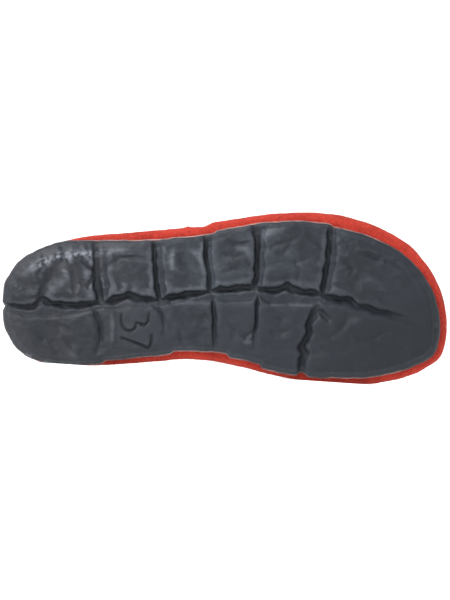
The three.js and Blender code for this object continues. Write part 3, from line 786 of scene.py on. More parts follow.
# Painted highlights: pale spots where the tread's raised places face the light. The depth is the share of
# the pale wear and highlight colour.
HIGHLIGHT_SPOTS = soft_grooves(
    ((23, 274, 3.0, 0.15), (29, 269, 3.2, 0.4), (35, 266, 2.8, 0.35)),
    ((50, 291, 3.0, 0.1), (58, 285, 5.0, 0.16), (66, 279, 4.0, 0.14)),
    ((109, 253, 2.6, 0.15), (113, 249, 4.4, 0.4), (121, 248, 4.0, 0.3), (129, 250, 2.0, 0.1)),
    ((124, 284, 1.6, 0.35), (126, 286, 1.6, 0.3)),
    ((173, 250, 2.4, 0.15), (171, 257, 3.0, 0.24), (172, 267, 3.0, 0.2), (178, 271, 2.4, 0.06)),
    ((192, 251, 2.4, 0.15), (199, 254, 2.4, 0.25), (201, 261, 2.2, 0.1)),
    ((238, 249, 3.0, 0.12), (247, 250, 3.0, 0.2), (250, 256, 2.4, 0.1)),
    ((264, 236, 4.0, 0.2), (271, 231, 4.4, 0.25), (284, 227, 3.4, 0.12)),
    ((352, 323, 2.8, 0.04), (356, 320, 3.0, 0.1), (361, 319, 2.6, 0.04)),
    ((362, 284, 3.4, 0.03), (370, 279, 3.6, 0.06), (381, 284, 3.2, 0.03)),
    ((70, 353, 3.0, 0.1), (74, 355, 3.0, 0.16)),
    ((111, 314, 1.8, 0.1), (112.5, 326, 2.0, 0.18), (112, 340, 1.8, 0.12)),
    ((246, 343, 1.8, 0.12), (250, 342, 2.0, 0.2)),
    ((64, 317, 1.2, 0.08), (78, 315.4, 1.2, 0.14), (92, 312, 1.2, 0.1)),
    ((171, 303.4, 1.0, 0.2), (190, 302.4, 1.0, 0.22), (209, 302.4, 1.0, 0.16)),
    ((272, 304.6, 1.2, 0.16), (292, 304.8, 1.2, 0.2), (311, 305, 1.2, 0.16)),
)
# A plain 3 and 7: the shoe's size.
SIZE_DIGITS = (
    groove(
        Walls.EVEN, (121.6, 314.5, 1.5, 1.0), (121.2, 320, 1.2, 1.3), (122.6, 326.6, 1.4, 1.4),
        (126, 330.2, 1.5, 1.4), (131, 331.2, 1.5, 1.4), (135, 328.6, 1.4, 1.4), (137, 322.5, 1.0, 1.2),
    ),
    groove(
        Walls.EVEN, (137, 322.5, 1.0, 1.2), (140.6, 324.2, 1.4, 1.4), (145, 325, 1.4, 1.4),
        (148.4, 321.6, 1.3, 1.4), (149.2, 313, 1.3, 1.0),
    ),
    groove(
        Walls.EVEN, (121.6, 338, 1.0, 1.2), (129, 340.3, 1.2, 1.3), (137, 343.4, 1.3, 1.4),
        (148.5, 348, 1.3, 1.4),
    ),
    groove(Walls.EVEN, (151.8, 335, 1.4, 1.2), (151.6, 342, 1.5, 1.4), (149, 348, 1.3, 1.4)),
)


class Wire:
    """A shader socket with arithmetic, so that shader maths reads as Python."""

    def __init__(self, tree: bpy.types.NodeTree, socket: bpy.types.NodeSocket) -> None:
        """Wraps an output socket of a tree."""
        self.tree = tree
        self.socket = socket

    def _math(self, operation: str, *values: "Wire | float") -> "Wire":
        """Adds a Math node and returns its result."""
        made = self.tree.nodes.new("ShaderNodeMath")
        made.operation = operation
        for slot, value in zip(made.inputs, values):
            if isinstance(value, Wire):
                self.tree.links.new(value.socket, slot)
            else:
                slot.default_value = value
        return Wire(self.tree, made.outputs[0])

    def __add__(self, other: "Wire | float") -> "Wire":
        """self + other."""
        return self._math("ADD", self, other)

    __radd__ = __add__

    def __sub__(self, other: "Wire | float") -> "Wire":
        """self - other."""
        return self._math("SUBTRACT", self, other)

    def __rsub__(self, other: float) -> "Wire":
        """other - self."""
        return self._math("SUBTRACT", other, self)

    def __mul__(self, other: "Wire | float") -> "Wire":
        """self * other."""
        return self._math("MULTIPLY", self, other)

    __rmul__ = __mul__

    def __truediv__(self, other: "Wire | float") -> "Wire":
        """self / other."""
        return self._math("DIVIDE", self, other)

    def __pow__(self, other: float) -> "Wire":
        """self to the power of other."""
        return self._math("POWER", self, other)

    def clamp(self) -> "Wire":
        """The value kept between 0 and 1."""
        return self._math("MAXIMUM", self._math("MINIMUM", self, 1.0), 0.0)

    def ramp(self, low: float, high: float) -> "Wire":
        """A smooth rise from 0 at low to 1 at high."""
        t = ((self - low) / (high - low)).clamp()
        return t * t * (3.0 - 2.0 * t)


Colour = tuple[float, float, float]
WHITE: Colour = (1.0, 1.0, 1.0)


class Finish:
    """A material tree under construction."""

    def __init__(self, name: str) -> None:
        """Starts a material with a Principled surface.

        Args:
            name: The material's name.
        """
        self.material = bpy.data.materials.new(name)
        self.material.use_nodes = True
        self.tree = self.material.node_tree
        self.surface = self.tree.nodes["Principled BSDF"]

    def node(
        self, kind: str, settings: dict[str, object] | None = None, inputs: dict[str, object] | None = None
    ) -> bpy.types.Node:
        """Adds a node.

        Args:
            kind: The node's type.
            settings: Properties, which are set first.
            inputs: Values or wires of its sockets, by name.

        Returns:
            The node.
        """
        made = self.tree.nodes.new(kind)
        for key, value in (settings or {}).items():
            setattr(made, key, value)
        for key, value in (inputs or {}).items():
            if isinstance(value, Wire):
                self.tree.links.new(value.socket, made.inputs[key])
            else:
                made.inputs[key].default_value = value
        return made

    def wire(self, made: bpy.types.Node, output: str | int = 0) -> Wire:
        """One output of a node."""
        return Wire(self.tree, made.outputs[output])

    def place(self) -> Wire:
        """The place on the object, in metres."""
        return self.wire(self.node("ShaderNodeTexCoord"), "Object")

    def along(self, axis: str) -> Wire:
        """How far along an axis of the row frame, in metres."""
        split = self.node("ShaderNodeSeparateXYZ", None, {"Vector": self.place()})
        return self.wire(split, axis)

    def attribute(self, name: str) -> Wire:
        """A number kept on the vertices."""
        return self.wire(self.node("ShaderNodeAttribute", {"attribute_name": name}), "Fac")

    def clouds(self, scale: float, detail: float = 3.0, rough: float = 0.5, twist: float = 0.0) -> Wire:
        """Soft noise from 0 to 1.

        Args:
            scale: How many lumps to the metre.
            detail: Levels of finer lumps.
            rough: Strength of the finer lumps.
            twist: How far the pattern is distorted.

        Returns:
            The noise.
        """
        sizes = {"Scale": scale, "Detail": detail, "Roughness": rough, "Distortion": twist}
        made = self.node("ShaderNodeTexNoise", {"noise_dimensions": "3D"}, {"Vector": self.place(), **sizes})
        return self.wire(made, "Fac")

    def blend(self, share: Wire | float, low: Wire | Colour, high: Wire | Colour) -> Wire:
        """Mixes two colours.

        Args:
            share: 0 for the first and 1 for the second.
            low: The first colour.
            high: The second colour.

        Returns:
            The mixed colour.
        """
        made = self.tree.nodes.new("ShaderNodeMix")
        made.data_type = "RGBA"
        for slot, value in ((made.inputs[0], share), (made.inputs[6], low), (made.inputs[7], high)):
            if isinstance(value, Wire):
                self.tree.links.new(value.socket, slot)
            elif isinstance(value, tuple):
                slot.default_value = (*value, 1.0)
            else:
                slot.default_value = value
        return Wire(self.tree, made.outputs[2])

    def relief(self, height: Wire, distance: float, strength: float = 1.0) -> None:
        """Feeds a bump of the given height, in metres, to the surface."""
        sizes = {"Height": height, "Distance": distance, "Strength": strength}
        bump = self.node("ShaderNodeBump", None, sizes)
        self.tree.links.new(bump.outputs["Normal"], self.surface.inputs["Normal"])

    def feed(self, socket: str, value: Wire) -> None:
        """Links a wire to a socket of the surface."""
        self.tree.links.new(value.socket, self.surface.inputs[socket])

    def fix(self, **values: float) -> None:
        """Sets plain numbers on the surface's sockets. An underscore stands for a space."""
        for key, value in values.items():
            self.surface.inputs[key.replace("_", " ")].default_value = value


@dataclass(frozen=True)
class RubberFinish:
    """Matt moulded rubber, with pale wear and painted highlights on its edges and painted shade in its
    grooves.
    """

    # Painted shade, taken by the grooves and hollows.
    recess_shade: Colour = (0.007, 0.009, 0.012)
    dark: Colour = (0.009, 0.0115, 0.016)
    pale: Colour = (0.025, 0.031, 0.04)
    heel: Colour = (0.023, 0.024, 0.029)
    # Pale wear with painted highlights.
    worn_and_lit: Colour = (0.2, 0.215, 0.25)
    # The lip's painted highlight.
    lip: Colour = (0.42, 0.24, 0.21)

    def make(self) -> bpy.types.Material:
        """Builds the material."""
        finish = Finish("moulded_rubber")
        patches = finish.clouds(34.0, 4.0, 0.55, 0.6)
        streaks = finish.clouds(160.0, 4.0, 0.6, 1.2)
        grain = finish.clouds(900.0, 3.0, 0.6)
        pits = finish.clouds(2600.0, 2.0, 0.5)
        mottle = (patches * 0.55 + streaks * 0.45).ramp(0.36, 0.62)
        toward_toe = finish.along("X").ramp(-0.1, 0.11)
        # Painted shade: 1 on the lower side of the lying shoe, fading out higher up.
        shaded_side = 1.0 - finish.along("Z").ramp(0.03, 0.075)
        heel_side = finish.blend(mottle, self.dark, self.heel)
        toe_side = finish.blend(mottle, self.dark, self.pale)
        colour = finish.blend((toward_toe * 3.0).clamp(), heel_side, toe_side)
        # Darker towards the toe, and painted shade on the lower, inner side of the lying shoe.
        colour = finish.blend((toward_toe * 0.62 + shaded_side * 0.32).clamp(), colour, self.dark)
        # Pale wear and painted highlights on the crests, the spots and the heel's edge.
        wear_and_highlight = (finish.attribute("wear_and_highlight") * (0.3 + 1.3 * streaks)).clamp()
        colour = finish.blend(wear_and_highlight, colour, self.worn_and_lit)
        # Painted shade in the grooves and hollows.
        colour = finish.blend(finish.attribute("depth").ramp(0.15, 1.0) * 0.85, colour, self.recess_shade)
        # A painted highlight along the lip.
        lip = (finish.attribute("lip") * (0.35 + streaks)).clamp()
        colour = finish.blend(lip, colour, self.lip)
        finish.feed("Base Color", colour)
        finish.feed("Roughness", (0.4 + 0.24 * streaks + 0.08 * grain - 0.12 * wear_and_highlight).clamp())
        finish.fix(IOR=1.5, Specular_IOR_Level=0.24)
        finish.relief(streaks * 0.5 + grain * 0.28 + pits * 0.1, 0.0006, 0.8)
        return finish.material


@dataclass(frozen=True)
class FeltFinish:
    """Thick felted wool with a short nap."""

    name: str
    dark: Colour
    body: Colour
    light: Colour
    matted: float = 0.0

    def make(self) -> bpy.types.Material:
        """Builds the material."""
        finish = Finish(self.name)
        patches = finish.clouds(45.0, 3.0, 0.5, 0.4)
        tufts = finish.clouds(420.0, 4.0, 0.62, 1.6)
        fibres = finish.clouds(1500.0, 5.0, 0.7, 2.6)
        hairs = finish.clouds(4200.0, 3.0, 0.6, 3.0)
        tone = (patches * 0.25 + tufts * 0.45 + fibres * 0.3).ramp(0.36, 0.62)
        colour = finish.blend(tone, self.dark, self.body)
        colour = finish.blend(fibres.ramp(0.55, 0.82) * 0.5, colour, self.light)
        finish.feed("Base Color", colour)
        finish.feed("Roughness", (0.86 + 0.12 * fibres).clamp())
        finish.fix(Sheen_Weight=0.35, Sheen_Roughness=0.45, Specular_IOR_Level=0.18)
        finish.surface.inputs["Sheen Tint"].default_value = (*self.light, 1.0)
        finish.relief(tufts * 0.9 + fibres * 0.6 + hairs * 0.22, 0.0016 * (1 - 0.5 * self.matted), 1.0)
        return finish.material


UPPER_FELT = FeltFinish("red_felt", (0.36, 0.02, 0.014), (0.68, 0.056, 0.035), (0.88, 0.22, 0.15))
FOOTBED_FELT = FeltFinish(
    "red_felt_footbed", (0.3, 0.022, 0.016), (0.56, 0.06, 0.04), (0.76, 0.2, 0.14), matted=0.6
)
LOOSE_WOOL = FeltFinish(
    "loose_wool", (0.5, 0.035, 0.022), (0.74, 0.08, 0.052), (0.9, 0.26, 0.18), matted=1.0
)


@dataclass(frozen=True)
class PaperFinish:
    """The pale seamless ground of the studio."""

    tone: Colour = (0.86, 0.86, 0.86)
    shade_tone: Colour = (0.8, 0.8, 0.8)

    def make(self) -> bpy.types.Material:
        """Builds the material."""
        finish = Finish("pale_ground")
        shade = finish.clouds(3.0, 2.0)
        finish.feed("Base Color", finish.blend(shade * 0.03, self.tone, self.shade_tone))
        finish.feed("Roughness", 0.9 + 0.05 * shade)
        finish.fix(Specular_IOR_Level=0.1, Emission_Strength=0.5)
        finish.surface.inputs["Emission Color"].default_value = (*WHITE, 1.0)
        return finish.material


@dataclass
class Outsole:
    """The moulded sole, with its blocks, grooves, bevelled heel, stepped sides and lip.

    A bevel row is (share of the length, share of the heel's bevel on the inner side, and on the outer side).
    """

    patch: Patch = Patch(along=430, across=140)
    lip_height: float = 1.8
    lip_out: float = 0.6
    wall_draft: float = 0.15
    edge_radius: float = 1.6
    heel_bevel: float = 5.5
    bevel_height: float = 5.0
    top_margin: float = 3.5
    ring_count: int = 8
    worn_down: float = 0.9
    notch_share: float = 0.35
    notch_limit: float = 2.0
    bevel_rows: tuple[tuple[float, float, float], ...] = (
        (0, 0.6, 0.6),
        (0.05, 0.3, 0.95),
        (0.1, 0.05, 1),
        (0.22, 0.05, 0.9),
        (0.34, 0.1, 0.35),
        (0.7, 0.25, 0.3),
        (0.94, 0.4, 0.45),
        (1, 0.45, 0.45),
    )

    def carve(self, x: np.ndarray, y: np.ndarray, rim: np.ndarray) -> tuple[np.ndarray, np.ndarray]:
        """The relief of the tread.

        Args:
            x: Places along the sole.
            y: Places across it, positive to the inner side.
            rim: How far inside the tread's border each place is.

        Returns:
            The depth at each place in millimetres, and the depth of the sharp grooves alone.
        """
        flat = np.stack([x, y], -1)
        wx = x + 0.75 * lumps(flat, 7.0, 3.0) + 0.3 * lumps(flat, 2.6, 13.0)
        wy = y + 0.75 * lumps(flat, 6.0, 4.0) + 0.3 * lumps(flat, 2.4, 14.0)
        outer = smooth(-y, -3.0, 4.0)
        cut, edge = LONG_GROOVE.cut(wx, wy)
        top_x, top_y = DRAWING.place(*(np.array([row[i] for row in INNER_BLOCK_TOPS]) for i in (0, 1)))
        ledge = np.interp(wx, top_x, [row[2] for row in INNER_BLOCK_TOPS])
        below = np.interp(wx, top_x, top_y) - wy
        inner_side = smooth(LONG_GROOVE.read(wx, wy)[0], -0.6, 0.4)
        cut = np.maximum(cut, ledge * inner_side * smooth(below, -0.5, 0.9))
        edge = np.where((inner_side > 0.5) & (below < 6.0), np.maximum(-below, 0.0) + 0.3, edge)
        for one in CROSS_GROOVES:
            depth, near = one.cut(wx, wy)
            cut = np.maximum(cut, depth)
            edge = np.minimum(edge, near)
        dents = sum(one.cut(wx, wy)[0] for one in HAND_DENTS) * (1 - 0.85 * smooth(cut, 0.6, 2.2))
        digits = np.zeros_like(cut)
        for one in SIZE_DIGITS:
            digits = np.maximum(digits, one.cut(x, y)[0])
        calm = np.exp(-(((x - 76.0) / 13.0) ** 2) - (((y - 16.0) / 13.0) ** 2))
        heel = outer * (1 - smooth(x, 48.0, 60.0))
        toe = smooth(x, 186.0, 196.0) * (1 - smooth(x, 222.0, 240.0))
        rocky = (0.62 + 0.22 * heel + 0.25 * toe * outer) * (1 - 0.6 * calm)
        rocky *= (1 - 0.32 * smooth(x, 112.0, 130.0)) * (1 - 0.5 * smooth(x, 226.0, 246.0))
        reach = 4.0 + 2.4 * outer
        pillow = (0.5 + 0.75 * outer) * np.clip(1 - np.clip(edge, 0, None) / reach, 0, 1) ** 2
        sides = 1 - smooth(x, 200.0, 226.0)
        pillow += (0.5 + 0.3 * outer) * sides * np.clip(1 - np.clip(rim, 0, None) / 5.0, 0, 1) ** 2
        strata = (flat + 1.8 * (np.stack([wx, wy], -1) - flat)) * np.array([0.58, 1.0])
        rough = rocky * (0.9 * hammered(strata, 11.0, 1.0) + 0.6 * hammered(strata, 5.6, 2.0))
        rough += 0.4 * lumps(flat, 15.0, 1.0) + 0.16 * lumps(flat, 5.0, 26.0)
        rough += rocky * (0.42 * lumps(strata, 4.0, 2.0) + 0.2 * lumps(strata, 1.9, 5.0))
        relief = cut + dents + pillow + 0.35 + rough
        relief = np.where(digits > 0, np.maximum(relief, digits + 0.75 * relief), relief)
        soft = relief - 0.02
        relief = np.where(soft < 0.3, 0.3 * np.exp(np.minimum(soft, 0.3) / 0.3 - 1), soft) + 0.02
        return relief, np.maximum(cut, 2.2 * digits)

    def build(self, pose: Pose) -> bpy.types.Object:
        """Builds and dresses the sole.

        Args:
            pose: Lays the sole down.

        Returns:
            The sole's object.
        """
        weave = Weave()
        turns = self.patch.turns(SOLE_OUTLINE)
        station = stations_of(turns)
        inner = (turns % 2.0) <= 1.0
        at = tuple(row[0] for row in self.bevel_rows)
        share = np.where(
            inner,
            Column(at, tuple(row[1] for row in self.bevel_rows))(station),
            Column(at, tuple(row[2] for row in self.bevel_rows))(station),
        )
        cut = self.heel_bevel * share
        climb = np.maximum(self.edge_radius, self.bevel_height * share)
        outward = SOLE_OUTLINE.outward(turns)
        smooth_line = SOLE_OUTLINE.point(turns)
        wander = 0.3 * lumps(smooth_line, 8.0, 8.0) + 0.24 * lumps(smooth_line, 3.4, 9.0)
        notch = np.where(inner, 1.2 * np.exp(-(((smooth_line[:, 0] - 172.5) / 2.2) ** 2)), 0.0)
        behind = 1 - smooth(smooth_line[:, 0], 0.0, 3.2)
        notch += 1.2 * behind * np.exp(-(((smooth_line[:, 1] - 1.7) / 1.5) ** 2))
        nose = 0.8 * behind
        base = smooth_line + outward * (edge_step(turns) + wander + nose - notch)[:, None]
        foot = self.lip_out + self.wall_draft
        radius = self.edge_radius * (1.2 - 0.7 * share)
        bottom, top = SIDE_VIEW.bottom(station), SIDE_VIEW.top(station)

        border = base - outward * (foot + radius + cut)[:, None]
        grid = self.patch.fill(border)
        flat = grid.reshape(-1, 2)
        near_border = border[None, ::2]
        parts = np.array_split(flat, 40)
        distances = [np.linalg.norm(part[:, None] - near_border, axis=2).min(axis=1) for part in parts]
        rim = np.concatenate(distances)
        depth, sharp = self.carve(flat[:, 0], flat[:, 1], rim)
        height = SIDE_VIEW.bottom(station_at(flat[:, 0] / SOLE_LENGTH)) + depth
        numbers = weave.add(np.column_stack([flat, height]).reshape(*grid.shape[:2], 3))
        weave.sheet(numbers)
        # The hollows and sharp grooves take painted shade; the crests take pale wear and painted highlights.
        crest, hollow = self._crests(depth.reshape(grid.shape[:2]))
        recess_shade = [np.maximum(smooth(sharp, 0.7, 3.1), hollow.ravel())]
        outer = smooth(-flat[:, 1], -2.0, 10.0)
        heel = 1 - smooth(flat[:, 0], 48.0, 60.0)
        bright = sum(one.cut(flat[:, 0], flat[:, 1])[0] for one in HIGHLIGHT_SPOTS)
        speckle = (0.42 + 0.9 * lumps(flat, 2.6, 22.0) + 0.8 * lumps(flat, 1.2, 27.0)).clip(0, 1.2)
        # Painted highlights on the crests, strongest on the upper, outer side and the heel, and on the
        # spots; the heel's rim takes pale wear and a painted highlight.
        band = 0.8 * np.exp(-(((rim - 1.2) / 2.2) ** 2)) * outer * heel * smooth(flat[:, 0], 12.0, 24.0)
        lit = (0.06 + 0.14 * outer + 0.12 * outer * heel) * (1 - 0.45 * smooth(flat[:, 0], 112.0, 132.0))
        wear_and_highlight = [(crest.ravel() * lit + bright + band * speckle).clip(0, 1)]
        lip = [np.zeros(len(flat))]

        rings = [self.patch.border(numbers)]
        edge_relief, edge_sharp = self.carve(border[:, 0], border[:, 1], np.zeros(len(border)))
        # The heel's outer edge takes pale wear and a painted highlight.
        worn_and_lit = heel_crest(station, inner)
        # Painted highlight flecks along the inner heel's rounded edge.
        inner_highlight = np.where(inner, 0.5 * smooth(station, 0.12, 0.16) * (1 - smooth(station, 0.24, 0.3)), 0.0)
        knobs = worn_and_lit * (0.5 * lumps(border, 5.0, 15.0) + 0.35 * lumps(border, 2.4, 16.0))
        edge_rest = edge_relief - edge_sharp
        notched = self.notch_share * np.minimum(edge_sharp, self.notch_limit)
        for i in range(1, self.ring_count + 1):
            s = i / self.ring_count
            angle = s * math.pi / 2
            inset = foot + radius * (1 - math.sin(angle)) + cut * (1 - s)
            rise = 0.6 * radius * (1 - math.cos(angle)) + (climb - 0.6 * radius) * s
            here = base - outward * (inset + s * notched)[:, None]
            local = 0.42 * lumps(here, 6.0, 17.0) + 0.22 * lumps(here, 2.6, 18.0)
            fade = (1 - s) ** 1.6
            z = bottom + rise + edge_rest * fade + self.worn_down * (1 - fade) + edge_sharp * (1 - 0.5 * s)
            z += local * math.sin(math.pi * s) + knobs * 4 * s * (1 - s) ** 4
            rings.append(weave.add(np.column_stack([here, z])))
            recess_shade.append(smooth(edge_sharp, 0.3, 2.8) * (1 - 0.3 * s))
            speck = 0.5 + 1.1 * lumps(here, 2.2, 19.0)
            flecks = (0.2 + 1.6 * lumps(here, 1.6, 24.0)).clip(0, 1)
            inner_highlight_flecks = inner_highlight * smooth(np.array(s), 0.3, 0.8) * flecks
            wear_and_highlight.append((0.03 + 0.8 * worn_and_lit * (1 - s) ** 5 * speck.clip(0, 1) + inner_highlight_flecks).clip(0, 1))
            lip.append(np.zeros(len(here)))
        wall_top = top - self.lip_height
        wall_foot = bottom + climb + self.worn_down + edge_sharp * 0.5
        for i in range(1, self.ring_count + 1):
            s = i / self.ring_count
            inset = foot + (self.lip_out - foot) * s
            here = base - outward * (inset + (1 - s) * notched)[:, None]
            z = wall_foot + (wall_top - wall_foot) * s
            ripple = 0.3 * lumps(np.column_stack([here, z * 1.6]), 7.0, 10.0) * math.sin(math.pi * s)
            here = here - outward * ripple[:, None]
            rings.append(weave.add(np.column_stack([here, z])))
            recess_shade.append(smooth(edge_sharp, 0.3, 2.8) * (1 - s) * 0.7)
            wear_and_highlight.append(np.full(len(here), 0.04))
            lip.append(np.zeros(len(here)))
        # The lip takes a painted highlight, patchy and fading out round the toe's end.
        pale = self._lip_share(station, inner, smooth_line)
        lip_line = (self.lip_out - 0.05, 1.75), (0.1, 1.7), (0.0, 1.3), (0.05, 0.6), (0.35, 0.1), (1.0, 0.0)
        for inset, below in lip_line:
            rings.append(weave.add(np.column_stack([base - outward * inset, top - below])))
            recess_shade.append(np.zeros(len(base)))
            wear_and_highlight.append(np.full(len(base), 0.2))
            lip.append(pale)
        rings.append(weave.add(np.column_stack([base - outward * self.top_margin, top])))
        for kept in (recess_shade, wear_and_highlight, lip):
            kept.append(np.zeros(len(base)))
        for low, high in zip(rings[:-1], rings[1:]):
            weave.sheet(np.stack([low, high]), closed=True)
        self._close(weave, rings[-1])

        made = weave.build(
            "outsole_rubber",
            pose.place(weave.all_points()),
            {"depth": np.concatenate(recess_shade), "wear_and_highlight": np.concatenate(wear_and_highlight), "lip": np.concatenate(lip)},
        )
        made.data.materials.append(RubberFinish().make())
        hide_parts("outsole")
        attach(made, "root")
        return made

    def _crests(self, depth: np.ndarray) -> tuple[np.ndarray, np.ndarray]:
        """Where the tread stands out of its surroundings and where it is hollow.

        Args:
            depth: The relief over the grid.

        Returns:
            Both as shares from 0 to 1 over the grid.
        """
        blurred = depth.copy()
        for axis in (0, 1):
            for _ in range(2):
                width = 4
                margins = [(width, width) if k == axis else (0, 0) for k in (0, 1)]
                padded = np.pad(blurred, margins, mode="edge")
                total = np.cumsum(padded, axis=axis)
                total = np.concatenate([np.zeros_like(np.take(total, [0], axis=axis)), total], axis=axis)
                size = 2 * width + 1
                count = blurred.shape[axis]
                high = np.take(total, np.arange(size, size + count), axis=axis)
                low = np.take(total, np.arange(0, count), axis=axis)
                blurred = (high - low) / size
        return smooth(blurred - depth, 0.08, 0.75), smooth(depth - blurred, 0.15, 1.1) * 0.8

    def _lip_share(self, station: np.ndarray, inner: np.ndarray, line: np.ndarray) -> np.ndarray:
        """How strong the lip's painted highlight is round the sole: none round the toe's end, patchy
        elsewhere.
        """
        heel_fade = np.where(inner, smooth(station, 0.1, 0.17), smooth(station, 0.27, 0.34))
        toe_fade = np.where(inner, 1 - smooth(station, 0.78, 0.84), 1 - smooth(station, 0.74, 0.8))
        patchy = 0.55 + 0.6 * lumps(line, 14.0, 20.0) + 0.5 * lumps(line, 3.0, 25.0)
        return (np.maximum(heel_fade * toe_fade, 0.12) * patchy).clip(0, 1)

    def _close(self, weave: Weave, ring: np.ndarray) -> None:
        """Closes the sole's upper face with strips across it and a fan at each end."""
        n, m = self.patch.along, self.patch.across
        inner = ring[: n + 1]
        outer = ring[n + m : 2 * n + m + 1][::-1]
        weave.sheet(np.stack([inner, outer]))
        toe = ring[n : n + m + 1]
        heel = np.concatenate([ring[2 * n + m :], ring[:1]])
        for arc in (toe, heel):
            weave.triangles.append(
                np.stack([np.full(len(arc) - 2, arc[0]), arc[1:-1], arc[2:]], axis=-1)
            )


def heel_crest(station: np.ndarray, inner: np.ndarray) -> np.ndarray:
    """Where the heel's outer edge takes pale wear and a painted highlight, from 0 to 1."""
    return np.where(inner, 0.1, smooth(station, 0.1, 0.2) * (1 - smooth(station, 0.3, 0.36)))


@dataclass
class Upper:
    """The felt upper: a vamp with a toe box, and a low rim round the heel.

    A crease is (where it crosses the middle, how far it bows to the heel, width, depth), in millimetres. A
    row of the crest is (share of the length, height as a share of the instep, place across as a share of the
    ball width).
    """

    wall: float = 5.0
    foot_tuck: float = 1.2
    bulge: float = 7.0
    instep: float = 78.0
    crest_start: float = 42.0
    crest_end: float = 208.0
    flank_power: float = 3.0
    crown_power: float = 2.6
    gap: float = 0.3
    rim: float = 12.0
    heel_rise: float = 4.0
    throat_start: float = 107.0
    throat_foot: float = 122.0
    throat_top: float = 137.0
    throat_corner: float = 34.0
    edge_round: float = 1.3
    creases: tuple[tuple[float, float, float, float], ...] = (
        (171.0, 14.0, 3.4, 0.9),
        (183.0, 12.0, 2.8, 0.7),
        (159.0, 12.0, 3.0, 0.5),
    )
    crest_rows: tuple[tuple[float, float, float], ...] = (
        (0, 0.95, 0),
        (0.3, 1.04, 0),
        (0.5, 1, -0.01),
        (0.62, 0.82, 0.005),
        (0.74, 0.635, 0.04),
        (0.84, 0.52, 0.08),
        (0.93, 0.455, 0.12),
        (1, 0.41, 0.139),
    )

    def flank(self, turn: np.ndarray, climb: np.ndarray, skin: float) -> np.ndarray:
        """The felt's side from its foot on the sole to its widest line.

        Args:
            turn: Places on the loop.
            climb: 0 at the foot and 1 at the widest line, in a shape that goes with turn's.
            skin: How far inside the outer face.

        Returns:
            Points of the upright shoe.
        """
        angle = climb * math.pi / 2
        over = np.sin(angle) ** (2 / self.flank_power)
        up = 1 - np.clip(np.cos(angle), 0, 1) ** (2 / self.flank_power)
        low = SOLE_OUTLINE.point(turn) - SOLE_OUTLINE.outward(turn) * self.foot_tuck
        wide = FELT_OUTLINE.point(turn)
        flat = low + (wide - low) * over[..., None] - FELT_OUTLINE.outward(turn) * skin
        z = SIDE_VIEW.top(stations_of(turn)) + self.gap + (self.bulge - self.gap) * up
        return np.concatenate([flat, z[..., None]], axis=-1)

    def crown(self, turn: np.ndarray, climb: np.ndarray, skin: float) -> np.ndarray:
        """The felt from its widest line up to the crest, with the same arguments as the flank."""
        at, height, across = (tuple(row[i] for row in self.crest_rows) for i in range(3))
        angle = climb * math.pi / 2
        inwards = 1 - np.clip(np.cos(angle), 0, 1) ** (2 / self.crown_power)
        upwards = np.sin(angle) ** (2 / self.crown_power)
        low = self.flank(turn, np.ones_like(climb), skin)
        ridge_x = self.crest_start + (self.crest_end - self.crest_start) * share_at(stations_of(turn))
        ridge_y = BALL_WIDTH * Column(at, across)(station_at(ridge_x / SHOE_LENGTH))
        x = low[..., 0] + (ridge_x - low[..., 0]) * inwards
        y = low[..., 1] + (ridge_y - low[..., 1]) * inwards
        roof = self.instep * Column(at, height)(station_at(x / SHOE_LENGTH)) - skin
        return np.stack([x, y, low[..., 2] + (roof - low[..., 2]) * upwards], axis=-1)

    def throat_line(self) -> np.ndarray:
        """The side view of the rim and the vamp's edge.

        Returns:
            Points of (x, z) from the heel to the instep, with x rising.
        """
        base = float(SIDE_VIEW.top(station_at(np.array(0.2))))
        rim = base + self.rim
        t = np.linspace(0, 1, 80)[:, None]

        def bend(a: tuple[float, float], b: tuple[float, float], c: tuple[float, float]) -> np.ndarray:
            """A curve from a to c that leaves and arrives towards b."""
            return np.array(a) * (1 - t) ** 2 + 2 * np.array(b) * t * (1 - t) + np.array(c) * t * t

        back = bend((-2, rim + self.heel_rise), (self.crest_start, rim), (self.throat_start, rim))
        turn = bend(
            (self.throat_start, rim), (self.throat_foot, rim), (self.throat_foot, base + self.throat_corner)
        )
        rise = bend(
            (self.throat_foot, base + self.throat_corner),
            (self.throat_foot, (base + self.throat_corner + self.instep) / 2),
            (self.throat_top, self.instep + 2),
        )
        return np.vstack([back, turn[1:], rise[1:]])

    def climb_to_edge(self, turn: np.ndarray) -> np.ndarray:
        """How far each profile climbs before the throat cuts it.

        Args:
            turn: Places on the loop.

        Returns:
            The climb at the throat's edge, or 1 where the profile reaches the crest.
        """
        line = self.throat_line()
        climbs = np.linspace(0.0, 1.0, 500)
        points = self.crown(np.repeat(turn[:, None], 500, 1), np.repeat(climbs[None], len(turn), 0), 0.0)
        wave = 0.3 * np.sin(turn * 19.0) + 0.15 * np.sin(turn * 43.0 + 1.0)
        limit = np.interp(points[..., 0], line[:, 0], line[:, 1], right=1e3) + wave[:, None]
        over = points[..., 2] - limit
        first = np.argmax(over > 0, axis=1)
        ends = np.ones(len(turn))
        for k in np.nonzero((over > 0).any(axis=1))[0]:
            i = max(1, first[k])
            part = over[k, i - 1] / (over[k, i - 1] - over[k, i])
            ends[k] = climbs[i - 1] + part * (climbs[i] - climbs[i - 1])
        return ends

